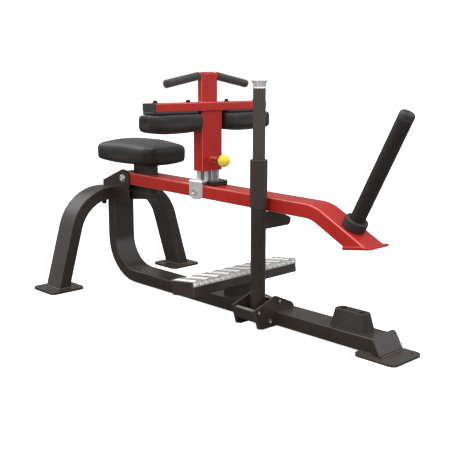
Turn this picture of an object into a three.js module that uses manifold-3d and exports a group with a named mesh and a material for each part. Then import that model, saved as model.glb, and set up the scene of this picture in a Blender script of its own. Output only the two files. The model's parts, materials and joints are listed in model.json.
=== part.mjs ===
// Seated calf raise machine: a floor frame with a seat and a foot step, a hinged lever with a weight horn and a
// knee unit, and a swinging catch that holds the lever up.
// Lengths are in millimetres. +X is the way the user faces, +Y is the user's left and +Z is up.
import * as THREE from "three";
import { mergeVertices } from "three/addons/utils/BufferGeometryUtils.js";
import Module from "manifold-3d";

const wasm = await Module();
wasm.setup();

// Fits and shared steel sections
const seatGap = 0.3; // between pieces that are welded together or rest on each other
const runningGap = 0.3; // round a pin or a tube that turns or slides
const overrun = 6; // how far a cutter reaches past what it cuts
const tubeWide = 100; // flat frame tube, wide side
const tubeDeep = 50; // flat frame tube, narrow side
const tubeWall = 3;
const tubeCorner = 4; // outside corner radius of the flat tubes
const cornerSteps = 3;
const bendSteps = 8;
const roundSteps = 24;
const smallSteps = 16; // round small pins and holes

// Feet and main frame, with x = 0 over the middle of the rear feet
const footSide = 154;
const footThick = 10;
const footCorner = 20;
const footHole = 6; // radius of a bolt-down hole
const footHoleInset = 24;
const rearFootSpread = 313; // from the middle of the machine to the middle of a rear foot
const frontFootX = 1385;
const uprightX = 10;
const uprightTop = 424;
const beamLow = footThick + seatGap;
const beamHigh = beamLow + tubeDeep;
const frameBend = 150; // middle-line radius of the bend from the upright into the beam
const beamEndX = 1381; // middle of the slanted front end of the beam
const endLean = THREE.MathUtils.degToRad(30);
const endPlateWide = 124;
const endPlateThick = 6;
const endPlateRise = 8; // how far the slanted plate stands above the beam
const endPlateCorner = 16;

// Rear legs
const legTopMiddle = 377;
const legKneeSpread = 209; // where the level run and the slanted run would meet
const legFootSpread = 315.5;
const legBend = 175;
const legStubDeep = 36;
const legStubLength = 50;
const legStubPlay = 2.5;
const legBoltOut = 34.7; // bolt's axis out from the hinge plate
const legBoltX = 22;
const legBoltHead = 11;
const legBoltHeadHigh = 14;
const legBoltWasher = 13;
const legBoltWasherHigh = 3;
const legBoltShank = 5;

// Hinge of the lever
const hingeX = 109;
const hingeZ = 443;
const hingePlateThick = 8;
const hingeBoss = 36; // radius of the plate round the axle
const hingePlateBack = -34;
const hingePlateAboveLeg = 47; // rear corner of the plate above the middle of the leg's level run
const hingePlateBelowLeg = 31;
const axleRadius = 12.5;
const axleHead = 17;
const axleHeadHigh = 9;
const hubRadius = 19;

// Lever
const leverPlay = 0.7; // each side between the hinge plates
const leverEdge = 8; // outside corner radius of the lever's tube
const leverBackX = 80;
const leverBendX = 1109;
const leverDrop = THREE.MathUtils.degToRad(1.15); // fall of the long run towards the front
const leverFrontDrop = THREE.MathUtils.degToRad(27.6); // fall of the front run
const leverBend = 130;
const leverFrontRun = 192; // from the bend's corner to the middle of the end cut
const leverEndTilt = THREE.MathUtils.degToRad(8.2);
const leverEndPlateThick = 9;
const leverEndPlateBack = 3; // past the heel of the end cut
const leverEndPlateFront = 19; // past the toe of the end cut

// Weight horn
const hornRun = 134; // from the bend's corner to the foot of the horn, along the front run
const hornRadius = 24.5;
const hornLean = THREE.MathUtils.degToRad(26.7); // of its axis from upright
const hornWall = 4;
const hornLength = 382;
const hornCapHigh = 27;
const hornCapEdge = 8;
const hornCapDish = 4;
const hornCapPlug = 20;
const collarRadius = 38.5;
const collarHigh = 34;
const collarEdge = 4;

// Seat
const seatPostBack = 136;
const seatPostWide = 102; // along X
const seatPostDeep = 50;
const seatPostTop = 504;
const seatSupportTop = 388;
const seatSupportRootLow = 345;
const seatSupportTipLow = 366;
const seatSupportWide = 60;
const seatSupportTip = 6; // past the front of the seat post
const slotEnd = 12; // slot in the lever past the seat post, front and back
const slotSide = 4;
const seatPlateThick = 5;
const seatPlateLong = 200;
const seatPlateWide = 110;
const seatPlateCorner = 12;
const cushionMiddleX = 156;
const cushionLong = 354;
const cushionWide = 206;
const cushionHigh = 84;
const cushionCorner = 38;

// Foot step
const stepFrontX = 775;
const stepTopZ = 167; // top of the tread along its front edge
const stepTilt = THREE.MathUtils.degToRad(7);
const stepDeep = 116;
const stepLong = 524;
const treadThick = 3;
const treadLip = 20;
const stepTubeHigh = 50;
const stepCapThick = 4;
const stepPostBack = 701;

// Rubber bump stop on the beam
const bumpX = 1247;
const bumpLong = 136;
const bumpWide = 74;
const bumpTopLong = 120;
const bumpTopWide = 46;
const bumpHigh = 57;
const bumpCorner = 15;
const bumpHoleRadius = 11;
const bumpHoleSpread = 36;
const bumpHoleDeep = 40;

// Catch: a clevis beside the beam and a post that swings sideways between its plates
const catchX = 908;
const catchOut = 35; // axis of the post out from the side of the beam
const catchPivotZ = 33;
const clevisInside = 95;
const clevisThick = 8;
const clevisReach = 105; // out past the side of the beam
const clevisHigh = 105; // above the underside of the beam
const clevisTopReach = 89.5; // from the side of the beam onto its top
// Corners of a clevis plate beside the beam, as shares of its reach and height, then over the beam.
const clevisOuterShares = [
  [0.65, 0],
  [0.83, 0.05],
  [0.9, 0.29],
  [1, 0.65],
  [1, 0.7],
  [0.05, 1],
];
const clevisOverShares = [
  [0.02, 1],
  [0.88, 0.67],
  [1, 0.56],
];
const catchPivotRadius = 8;
const catchPivotHead = 10.5;
const catchPivotHeadHigh = 7;
const catchPivotTube = 19;
const innerStopIn = 11; // in from the side of the beam
const innerStopZ = 96;
const outerStopOut = 90; // out from the side of the beam
const outerStopZ = 74;
const stopSpacerRadius = 8.5;
const stopBoltRadius = 6;
const stopHead = 8.5;
const stopHeadHigh = 6;
const webThick = 4;
const catchTubeRadius = 26;
const catchTubeWall = 4;
const stopPadLow = 46; // pad on the foot of the post that rests on the side of the beam
const stopPadHigh = 59;
const stopPadWide = 24;
const sleeveRadius = 29.5;
const sleeveLow = 418;
const sleeveHigh = 580;
const sleeveLip = 3;
const handleTubeRadius = 21;
const handleTubeWall = 3;
const handleTubeHigh = 812;
const handleTubeLow = 520;
const capFoot = 4;
const capHigh = 26;
const capWide = 28;
const capPlug = 14;
const armThick = 16;
const armReachY = 70;
const armLow = 342;
const armCorner = 16;

// Knee unit on the lever
const kneePivotRun = 449; // from the lever's axle to the bracket's bolt
const bracketLong = 70;
const bracketPlay = 1.2; // each side of the lever
const bracketThick = 8;
const bracketTopThick = 6;
const bracketTopUnder = 35; // from the bolt up to the underside of the top plate
const bracketLow = 31; // from the bolt down to the end of an ear
const bracketEarCorner = 22;
const bracketBoltRadius = 8;
const bracketBoltHead = 14;
const bracketBoltHeadHigh = 9;
const bumperLong = 42;
const bumperWide = 70;
const bumperHigh = 19;
const bumperCorner = 5;
const kneePostAhead = 5.5; // middle of the post ahead of the bracket's bolt
const innerPostWide = 80;
const innerPostDeep = 40;
const innerPostCorner = 4;
const innerPostShort = 8; // top of the inner post below the cross bar
const pinHolePitch = 25;
const kneePostLow = 509.5;
const crossBarHigh = 30;
const crossBarDeep = 74;
const crossBarLong = 538;
const crossBarWall = 2.5;
const crossBarCorner = 4;
const barCapThick = 3;
const barCapPlug = 12;
const linerHigh = 26;
const padInner = 60; // from the middle of the machine to the inner end of a knee pad
const padLong = 228;
const padDeep = 100;
const padHigh = 69;
const padCorner = 26;
const padBoardThick = 9;
const padBoardInset = 5; // of the board from the edge of its pad
const padBoltOuter = 245; // from the middle of the machine
const padBoltInner = 95;
const padBoltRadius = 4;
const padBoltHead = 9;
const padBoltHeadHigh = 8;
const padBoltWasher = 11;
const padBoltWasherHigh = 2;
const upperPostWide = 80;
const upperPostDeep = 22;
const upperPostCorner = 4;
const handleRadius = 11;
const handleWall = 2.5;
const handleTop = 857; // middle of the handle tube
const handleSink = 5; // top edge of the upper post below the middle of the handle tube
const handleRise = 127; // middle of the handle tube above the underside of the cross bar
const handleKink = 26; // where the two arms of the handle meet its level middle
const handleArm = 171; // along the arm from the kink to its end
const handleFall = THREE.MathUtils.degToRad(10.6);
const handleBend = 50;
const gripRadius = 14.8;
const gripStart = 18; // along the arm from the kink
const gripEndThick = 6;
const gripEdge = 5;
const pinZ = 550;
const pinRadius = 5;
const pinLength = 62;
const housingRadius = 13.5;
const housingLong = 33;
const housingChamber = 9;
const housingEnd = 5;
const knobRadius = 23;
const knobAhead = 61; // middle of the knob ahead of the outer post's face

// Worked-out places
const plateInner = tubeWide / 2 + seatGap;
const plateOuter = plateInner + hingePlateThick;
const legBoltSpread = plateOuter + legBoltOut;
const leverWide = 2 * (plateInner - leverPlay);
const seatPostFront = seatPostBack + seatPostWide;
const machineBack = -footSide / 2;
const machineFront = frontFootX + footSide / 2;
const uprightFront = uprightX + tubeDeep / 2;
const catchY = -tubeWide / 2 - catchOut;
const innerStopY = innerStopIn - tubeWide / 2;
const outerStopY = -tubeWide / 2 - outerStopOut;
const crossBarLow = handleTop - handleRise;
const upperPostTop = handleTop - handleSink;
const innerPostTop = crossBarLow - innerPostShort;

// Paints, metals and soft coverings
const material = (color, roughness, metalness) =>
  new THREE.MeshStandardMaterial({ color, roughness, metalness });
const redPaint = material(0xac2f29, 0.3, 0.1);
const darkPaint = material(0x3a332e, 0.45, 0.2);
const chrome = material(0xc8c8c4, 0.15, 1);
const zinc = material(0x8b8a86, 0.35, 0.9);
const blackSteel = material(0x26221f, 0.4, 0.6);
const rubber = material(0x2c2a27, 0.8, 0);
const plastic = material(0x2a2826, 0.5, 0);
const leather = material(0x2a2624, 0.55, 0);
const foam = material(0x41413f, 0.9, 0);
const checkerPlate = material(0xc4c6c8, 0.3, 0.9);
const yellowPlastic = material(0xe8d63c, 0.25, 0);

// A closed geometry from points and triangles, turned to face outwards.
function closedGeometry(points, faces) {
  let volume = 0;
  for (const [a, b, c] of faces) {
    volume += points[a].dot(points[b].clone().cross(points[c]));
  }
  const turned = volume < 0 ? faces.map(([a, b, c]) => [a, c, b]) : faces;
  const geometry = new THREE.BufferGeometry();
  geometry.setAttribute(
    "position",
    new THREE.Float32BufferAttribute(points.flatMap((p) => p.toArray()), 3),
  );
  geometry.setIndex(turned.flat());
  geometry.computeVertexNormals();
  return geometry;
}

// Joins a geometry's shared corners and loads it as a solid.
function solid(geometry) {
  const bare = geometry.clone();
  bare.deleteAttribute("normal");
  bare.deleteAttribute("uv");
  const merged = mergeVertices(bare, 1e-3);
  return new wasm.Manifold(
    new wasm.Mesh({
      numProp: 3,
      vertProperties: new Float32Array(merged.attributes.position.array),
      triVerts: new Uint32Array(merged.index.array),
    }),
  );
}

// Turns a solid back into a geometry.
function geometryOf(body) {
  const mesh = body.getMesh();
  const geometry = new THREE.BufferGeometry();
  const positions = [];
  for (let i = 0; i < mesh.numVert; i++) {
    positions.push(...mesh.vertProperties.subarray(i * mesh.numProp, i * mesh.numProp + 3));
  }
  geometry.setAttribute("position", new THREE.Float32BufferAttribute(positions, 3));
  geometry.setIndex([...mesh.triVerts]);
  geometry.computeVertexNormals();
  return geometry;
}

const cut = (geometry, ...tools) =>
  geometryOf(tools.reduce((body, tool) => body.subtract(solid(tool)), solid(geometry)));
const join = (geometry, ...others) =>
  geometryOf(others.reduce((body, other) => body.add(solid(other)), solid(geometry)));
const common = (a, b) => geometryOf(solid(a).intersect(solid(b)));

// The outline of a rectangle with round corners, anticlockwise about the origin.
function roundedOutline(width, height, radius, steps = cornerSteps) {
  const points = [];
  const centres = [
    [1, 1, 0],
    [-1, 1, 1],
    [-1, -1, 2],
    [1, -1, 3],
  ];
  for (const [sideU, sideV, quarter] of centres) {
    for (let i = 0; i <= steps; i++) {
      const angle = (Math.PI / 2) * (quarter + i / steps);
      points.push([
        sideU * (width / 2 - radius) + radius * Math.cos(angle),
        sideV * (height / 2 - radius) + radius * Math.sin(angle),
      ]);
    }
  }
  return points;
}

// A run with round bends through corner points in a plane, as middle points with the way they head.
function bentRun(corners, radius, steps = bendSteps) {
  const points = corners.map(([p, q]) => new THREE.Vector2(p, q));
  const run = [];
  const heading = (a, b) => b.clone().sub(a).normalize();
  run.push({ at: points[0], along: heading(points[0], points[1]) });
  for (let i = 1; i < points.length - 1; i++) {
    const before = heading(points[i - 1], points[i]);
    const after = heading(points[i], points[i + 1]);
    const turn = Math.atan2(before.cross(after), before.dot(after));
    const reach = radius * Math.tan(Math.abs(turn) / 2);
    const start = points[i].clone().addScaledVector(before, -reach);
    const side = new THREE.Vector2(-before.y, before.x).multiplyScalar(Math.sign(turn) * radius);
    const centre = start.clone().add(side);
    for (let k = 0; k <= steps; k++) {
      const angle = (turn * k) / steps;
      run.push({
        at: start.clone().rotateAround(centre, angle),
        along: before.clone().rotateAround(new THREE.Vector2(), angle),
      });
    }
  }
  const last = points[points.length - 1];
  run.push({ at: last, along: heading(points[points.length - 2], last) });
  return run;
}

// Cuts one end of a run along the direction given instead of square.
function slantEnd(run, index, direction) {
  const station = run.at(index);
  const normal = new THREE.Vector2(-station.along.y, station.along.x);
  station.deep = direction.clone().divideScalar(direction.dot(normal));
}

// Sweeps an outline, hollow when an inner outline is given, along a run.
// place turns a point of the run's plane and a distance across it into a point in space.
function sweep(run, outer, inner, place, closedStart = false) {
  const points = [];
  const faces = [];
  const ring = (outline, station) => {
    const deep = station.deep ?? new THREE.Vector2(-station.along.y, station.along.x);
    const first = points.length;
    for (const [u, v] of outline) {
      points.push(place(station.at.clone().addScaledVector(deep, v), u));
    }
    return first;
  };
  const skin = (a, b, count, flip) => {
    for (let i = 0; i < count; i++) {
      const j = (i + 1) % count;
      const quad = flip ? [a + j, a + i, b + i, b + j] : [a + i, a + j, b + j, b + i];
      faces.push([quad[0], quad[1], quad[2]], [quad[0], quad[2], quad[3]]);
    }
  };
  const lid = (first, count, flip) => {
    for (let i = 1; i < count - 1; i++) {
      faces.push(flip ? [first, first + i, first + i + 1] : [first, first + i + 1, first + i]);
    }
  };
  const outerRings = run.map((station) => ring(outer, station));
  for (let i = 1; i < run.length; i++) {
    skin(outerRings[i - 1], outerRings[i], outer.length, false);
  }
  if (!inner) {
    lid(outerRings[0], outer.length, false);
    lid(outerRings.at(-1), outer.length, true);
    return closedGeometry(points, faces);
  }
  const innerRun = closedStart ? run.slice(1) : run;
  const innerRings = innerRun.map((station) => ring(inner, station));
  for (let i = 1; i < innerRun.length; i++) {
    skin(innerRings[i - 1], innerRings[i], inner.length, true);
  }
  skin(outerRings.at(-1), innerRings.at(-1), outer.length, false);
  if (closedStart) {
    lid(outerRings[0], outer.length, false);
    lid(innerRings[0], inner.length, true);
  } else {
    skin(innerRings[0], outerRings[0], outer.length, false);
  }
  return closedGeometry(points, faces);
}

const acrossY = (point, u) => new THREE.Vector3(point.x, u, point.y);
const acrossX = (x) => (point, u) => new THREE.Vector3(x + u, point.x, point.y);

// A straight flat tube standing along Z, hollow, with its wide side along Y.
function standingTube(x, low, high, deep, wide, wall, corner) {
  const run = [
    { at: new THREE.Vector2(x, low), along: new THREE.Vector2(0, 1) },
    { at: new THREE.Vector2(x, high), along: new THREE.Vector2(0, 1) },
  ];
  const outer = roundedOutline(wide, deep, corner);
  const inner = roundedOutline(wide - 2 * wall, deep - 2 * wall, corner - wall);
  return { run, build: () => sweep(run, outer, inner, acrossY) };
}

// A plate: an outline in the first two axes pushed out along the third, then turned into place.
function extrudeOutline(outline, depth) {
  const shape = new THREE.Shape(outline.map(([u, v]) => new THREE.Vector2(u, v)));
  return new THREE.ExtrudeGeometry(shape, { depth, bevelEnabled: false });
}
// An outline in Y and Z pushed out along X from the place given.
function plateAlongX(outline, fromX, thickness) {
  const geometry = extrudeOutline(outline, thickness);
  geometry.rotateX(Math.PI / 2);
  geometry.rotateZ(Math.PI / 2);
  geometry.translate(fromX, 0, 0);
  return geometry;
}
// An outline in X and Z pushed out along +Y from the place given.
function plateAlongY(outline, fromY, thickness) {
  const geometry = extrudeOutline(outline, thickness);
  geometry.rotateX(Math.PI / 2);
  geometry.translate(0, fromY + thickness, 0);
  return geometry;
}
// An outline in X and Y pushed up along +Z from the height given.
function plateAlongZ(outline, fromZ, thickness) {
  const geometry = extrudeOutline(outline, thickness);
  geometry.translate(0, 0, fromZ);
  return geometry;
}

function box(lowX, highX, lowY, highY, lowZ, highZ) {
  const geometry = new THREE.BoxGeometry(highX - lowX, highY - lowY, highZ - lowZ);
  geometry.translate((lowX + highX) / 2, (lowY + highY) / 2, (lowZ + highZ) / 2);
  return geometry;
}

// Turned pieces: a profile of [radius, distance] along Z, X or Y.
function turned(profile, axis = "z", steps = roundSteps) {
  const points = profile.map(([radius, distance]) => new THREE.Vector2(radius, distance));
  const geometry = new THREE.LatheGeometry(points, steps);
  geometry.rotateX(Math.PI / 2);
  if (axis === "x") geometry.rotateY(Math.PI / 2);
  if (axis === "y") geometry.rotateX(-Math.PI / 2);
  return geometryOf(solid(geometry));
}
const rod = (radius, low, high, axis, steps) =>
  turned(
    [
      [0, low],
      [radius, low],
      [radius, high],
      [0, high],
    ],
    axis,
    steps,
  );
const ringTube = (outer, inner, low, high, axis, steps) =>
  turned(
    [
      [inner, low],
      [outer, low],
      [outer, high],
      [inner, high],
      [inner, low],
    ],
    axis,
    steps,
  );
const moved = (geometry, x, y, z) => geometry.translate(x, y, z);

// A padded block: loops of a rounded outline climb its side, pulled in at mid-side, and close in a crown.
// Each level is [inset, height, pull] as shares of the corner radius, the height and the pull-in.
const cushionLevelShares = [
  [0.5, 0, 0.1],
  [0.16, 0.05, 0.2],
  [0.03, 0.17, 0.7],
  [0.02, 0.39, 1],
  [0, 0.6, 0.8],
  [0.04, 0.74, 0.4],
  [0.16, 0.82, 0.1],
  [0.38, 0.88, 0],
];
const crownRings = 3;
const crownRiseShare = 0.12; // of the cushion's height
const pullInShare = 0.16; // of the corner radius
const cushionCornerSteps = 5;
const cushionSideSteps = 5;
function cushion(long, wide, high, corner) {
  const points = [];
  const faces = [];
  const loops = [];
  const addLoop = (inset, height, pull) => {
    const outline = roundedOutline(
      long - 2 * inset,
      wide - 2 * inset,
      corner - inset,
      cushionCornerSteps,
    );
    const sides = [];
    outline.forEach(([u, v], i) => {
      sides.push([u, v]);
      const [nextU, nextV] = outline[(i + 1) % outline.length];
      const spaces = (i + 1) % (cushionCornerSteps + 1) === 0 ? cushionSideSteps : 1;
      for (let k = 1; k < spaces; k++) {
        const share = k / spaces;
        const bow = pull * Math.sin(Math.PI * share);
        const middleU = u + (nextU - u) * share;
        const middleV = v + (nextV - v) * share;
        const alongU = Math.abs(nextU - u) > Math.abs(nextV - v);
        sides.push([
          middleU - (alongU ? 0 : Math.sign(middleU) * bow),
          middleV - (alongU ? Math.sign(middleV) * bow : 0),
        ]);
      }
    });
    loops.push({ first: points.length, count: sides.length });
    for (const [u, v] of sides) points.push(new THREE.Vector3(u, v, height));
  };
  const pullIn = pullInShare * corner;
  for (const [inset, height, pull] of cushionLevelShares) {
    addLoop(inset * corner, height * high, pull * pullIn);
  }
  const last = cushionLevelShares.at(-1);
  const shoulder = loops.at(-1);
  const rim = points.slice(shoulder.first, shoulder.first + shoulder.count);
  for (let k = 1; k <= crownRings; k++) {
    const share = 1 - k / (crownRings + 1);
    loops.push({ first: points.length, count: rim.length });
    const height = high * (last[1] + crownRiseShare * (1 - share * share));
    for (const p of rim) points.push(new THREE.Vector3(p.x * share, p.y * share, height));
  }
  for (let i = 1; i < loops.length; i++) {
    const [a, b] = [loops[i - 1].first, loops[i].first];
    for (let k = 0; k < loops[i].count; k++) {
      const next = (k + 1) % loops[i].count;
      faces.push([a + k, a + next, b + next], [a + k, b + next, b + k]);
    }
  }
  const close = (loop, height, flip) => {
    const centre = points.length;
    points.push(new THREE.Vector3(0, 0, height));
    for (let k = 0; k < loop.count; k++) {
      const [p, q] = [loop.first + k, loop.first + ((k + 1) % loop.count)];
      faces.push(flip ? [centre, q, p] : [centre, p, q]);
    }
  };
  close(loops[0], 0, true);
  close(loops.at(-1), high, false);
  return closedGeometry(points, faces);
}

const machine = new THREE.Group();
function add(name, geometry, look, parent = machine) {
  const mesh = new THREE.Mesh(geometry, look);
  mesh.name = name;
  parent.add(mesh);
  return mesh;
}
const sides = [
  ["right", -1],
  ["left", 1],
];

// Flat tube sections
const flatOuter = roundedOutline(tubeWide, tubeDeep, tubeCorner);
const flatInner = roundedOutline(
  tubeWide - 2 * tubeWall,
  tubeDeep - 2 * tubeWall,
  tubeCorner - tubeWall,
);

// The upright, the bend and the long floor beam are one tube, closed at the top and cut aslant at the front.
function mainFrame() {
  const beamMiddle = (beamLow + beamHigh) / 2;
  const run = bentRun(
    [
      [uprightX, uprightTop - tubeWall],
      [uprightX, beamMiddle],
      [beamEndX, beamMiddle],
    ],
    frameBend,
  );
  run.unshift({ at: new THREE.Vector2(uprightX, uprightTop), along: run[0].along });
  slantEnd(run, -1, new THREE.Vector2(-Math.sin(endLean), Math.cos(endLean)));
  add("main_frame", sweep(run, flatOuter, flatInner, acrossY, true), darkPaint);
}

// The slanted plate that closes the beam.
function frontEndPlate() {
  const group = new THREE.Group();
  const along = (tubeDeep / 2) / Math.cos(endLean);
  const lift = endPlateRise / Math.cos(endLean);
  group.position.set(beamEndX, 0, (beamLow + beamHigh) / 2);
  group.rotation.y = -endLean;
  const low = -along - seatGap + endPlateThick * Math.tan(endLean);
  const outline = roundedOutline(endPlateWide, along + lift - low, endPlateCorner, 5)
    .map(([y, z]) => [y, z < 0 ? -(along + lift - low) / 2 : z])
    .map(([y, z]) => [z < 0 ? (Math.sign(y) * endPlateWide) / 2 : y, z + (along + lift + low) / 2]);
  const corners = outline.filter(([y, z], i) => {
    const [beforeY, beforeZ] = outline[(i + outline.length - 1) % outline.length];
    return Math.hypot(y - beforeY, z - beforeZ) > 0;
  });
  add("front_end_plate", plateAlongX(corners, seatGap, endPlateThick), darkPaint, group);
  machine.add(group);
}

function footPlate(name, middleX, middleY, holes) {
  const outline = roundedOutline(footSide, footSide, footCorner, 4).map(([x, y]) => [
    x + middleX,
    y + middleY,
  ]);
  const reach = footSide / 2 - footHoleInset;
  const drills = holes.map(([sideX, sideY]) => {
    const drill = rod(footHole, -overrun, footThick + overrun, "z");
    return moved(drill, middleX + sideX * reach, middleY + sideY * reach, 0);
  });
  add(name, cut(plateAlongZ(outline, 0, footThick), ...drills), darkPaint);
}

function rearLeg(name, side) {
  const run = bentRun(
    [
      [plateOuter + seatGap, legTopMiddle],
      [legKneeSpread, legTopMiddle],
      [legFootSpread, footThick + seatGap],
    ],
    legBend,
  );
  slantEnd(run, -1, new THREE.Vector2(1, 0));
  const place = (point, u) => new THREE.Vector3(u, side * point.x, point.y);
  const leg = sweep(run, flatOuter, flatInner, place);
  const boltHole = rod(legBoltShank + runningGap, legTopMiddle - tubeDeep, legTopMiddle, "z");
  add(name, cut(leg, moved(boltHole, legBoltX, side * legBoltSpread, 0)), darkPaint);
}

// A side plate of the lever's hinge, with the stub that carries the rear leg.
function hingePlate(name, side) {
  const plateLow = legTopMiddle - hingePlateBelowLeg;
  const backTop = legTopMiddle + hingePlateAboveLeg;
  const outline = [
    [hingePlateBack, plateLow],
    [hingeX + hingeBoss, plateLow],
  ];
  const toBack = new THREE.Vector2(hingePlateBack - hingeX, backTop - hingeZ);
  const lean = Math.atan2(toBack.y, toBack.x) - Math.acos(hingeBoss / toBack.length());
  const sweepAngle = lean < 0 ? lean + 2 * Math.PI : lean;
  for (let i = 0; i <= bendSteps; i++) {
    const angle = (sweepAngle * i) / bendSteps;
    outline.push([hingeX + hingeBoss * Math.cos(angle), hingeZ + hingeBoss * Math.sin(angle)]);
  }
  outline.push([hingePlateBack, backTop]);
  const near = side > 0 ? plateInner : -plateOuter;
  const plate = plateAlongY(outline, near, hingePlateThick);
  const axleHole = rod(axleRadius + runningGap, near - overrun, near + hingePlateThick + overrun, "y");
  moved(axleHole, hingeX, 0, hingeZ);
  const half = tubeWide / 2 - tubeWall - legStubPlay;
  const [inY, outY] = [plateOuter - tubeWall, plateOuter + legStubLength];
  const stub = box(
    -half,
    half,
    Math.min(side * inY, side * outY),
    Math.max(side * inY, side * outY),
    legTopMiddle - legStubDeep / 2,
    legTopMiddle + legStubDeep / 2,
  );
  const boltHole = rod(legBoltShank + runningGap, legTopMiddle - tubeDeep, legTopMiddle, "z");
  moved(boltHole, legBoltX, side * legBoltSpread, 0);
  add(name, cut(join(plate, stub), boltHole, axleHole), darkPaint);
}

// The bolt that holds a leg on its stub, from below.
function legBolt(name, side) {
  const turn = Math.atan2(legTopMiddle - footThick, legFootSpread - legKneeSpread);
  const inside = legBend - tubeDeep / 2;
  const bendStart = legKneeSpread - legBend * Math.tan(turn / 2);
  const out = Math.max(legBoltSpread + legBoltWasher - bendStart, 0);
  const facet = inside * (1 - Math.cos(turn / (2 * bendSteps)));
  const drop = inside + facet - Math.sqrt(inside ** 2 - out ** 2);
  const under = legTopMiddle - tubeDeep / 2 - seatGap - drop;
  const bolt = turned([
    [0, under - legBoltWasherHigh - legBoltHeadHigh],
    [legBoltHead, under - legBoltWasherHigh - legBoltHeadHigh],
    [legBoltHead, under - legBoltWasherHigh],
    [legBoltWasher, under - legBoltWasherHigh],
    [legBoltWasher, under],
    [legBoltShank, under],
    [legBoltShank, legTopMiddle - seatGap],
    [0, legTopMiddle - seatGap],
  ]);
  add(name, moved(bolt, legBoltX, side * legBoltSpread, 0), blackSteel);
}

// The axle through both plates and the lever's hub, with a domed head at each end.
function leverAxle() {
  const outside = plateOuter + seatGap;
  const head = [
    [axleHead - axleHeadHigh / 3, outside + axleHeadHigh],
    [axleHead, outside + (2 * axleHeadHigh) / 3],
    [axleHead, outside],
    [axleRadius, outside],
  ];
  const axle = turned(
    [
      [0, -outside - axleHeadHigh],
      ...head.map(([radius, distance]) => [radius, -distance]),
      ...head.toReversed(),
      [0, outside + axleHeadHigh],
    ],
    "y",
  );
  add("lever_axle", moved(axle, hingeX, 0, hingeZ), chrome);
}

// The arm under the lever that carries the seat, its post, plate and cushion.
function seatUnit() {
  const tip = seatPostFront + seatSupportTip;
  const arm = plateAlongY(
    [
      [uprightFront + seatGap, seatSupportRootLow],
      [tip, seatSupportTipLow],
      [tip, seatSupportTop],
      [uprightFront + seatGap, seatSupportTop],
    ],
    -seatSupportWide / 2,
    seatSupportWide,
  );
  add("seat_support", arm, darkPaint);
  const middle = (seatPostBack + seatPostFront) / 2;
  const post = standingTube(
    middle,
    seatSupportTop + seatGap,
    seatPostTop,
    seatPostWide,
    seatPostDeep,
    tubeWall,
    tubeCorner,
  );
  add("seat_post", post.build(), darkPaint);
  const plateLow = seatPostTop + seatGap;
  const plate = plateAlongZ(
    roundedOutline(seatPlateLong, seatPlateWide, seatPlateCorner),
    plateLow,
    seatPlateThick,
  );
  add("seat_plate", moved(plate, middle, 0, 0), blackSteel);
  const pad = add(
    "seat_cushion",
    cushion(cushionLong, cushionWide, cushionHigh, cushionCorner),
    leather,
  );
  pad.position.set(cushionMiddleX, 0, plateLow + seatPlateThick + seatGap);
}

// The foot step: a tilted tube with a folded tread on it, on a short post.
function footStep() {
  const group = new THREE.Group();
  group.position.set(stepFrontX, 0, stepTopZ);
  group.rotation.y = -stepTilt;
  const lip = [
    [-stepDeep, -treadThick],
    [-treadThick, -treadThick],
    [-treadThick, -treadLip],
    [0, -treadLip],
    [0, 0],
    [-stepDeep, 0],
  ];
  add("step_tread", plateAlongY(lip, -stepLong / 2, stepLong), checkerPlate, group);
  const high = -treadThick - seatGap;
  const low = high - stepTubeHigh;
  const front = -treadThick - seatGap;
  const middleX = (front - stepDeep) / 2;
  const deep = front + stepDeep;
  const half = stepLong / 2 - stepCapThick - seatGap;
  const shift = ([u, v]) => new THREE.Vector3(middleX + u, 0, (low + high) / 2 + v);
  const run = [-half, half].map((y) => ({
    at: new THREE.Vector2(y, 0),
    along: new THREE.Vector2(1, 0),
  }));
  const place = (point, u) => {
    const spot = shift([u, point.y]);
    spot.y = point.x;
    return spot;
  };
  const outer = roundedOutline(deep, stepTubeHigh, tubeCorner);
  const inner = roundedOutline(
    deep - 2 * tubeWall,
    stepTubeHigh - 2 * tubeWall,
    tubeCorner - tubeWall,
  );
  add("step_tube", sweep(run, outer, inner, place), darkPaint, group);
  for (const [hand, side] of sides) {
    const from = side > 0 ? half + seatGap : -half - seatGap - stepCapThick;
    const face = roundedOutline(deep, stepTubeHigh, tubeCorner).map(([x, z]) => [
      x + middleX,
      z + (low + high) / 2,
    ]);
    add("step_cap_" + hand, plateAlongY(face, from, stepCapThick), darkPaint, group);
  }
  machine.add(group);

  // The post ends under the tilted tube.
  const postMiddle = stepPostBack + tubeDeep / 2;
  const ahead = (postMiddle - stepFrontX) / Math.cos(stepTilt);
  const under = stepTopZ + (low - seatGap) / Math.cos(stepTilt) + ahead * Math.sin(stepTilt);
  const post = standingTube(
    postMiddle,
    beamHigh + seatGap,
    under,
    tubeDeep,
    tubeWide,
    tubeWall,
    tubeCorner,
  );
  slantEnd(post.run, -1, new THREE.Vector2(-Math.cos(stepTilt), -Math.sin(stepTilt)));
  add("step_post", post.build(), darkPaint);
}

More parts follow.
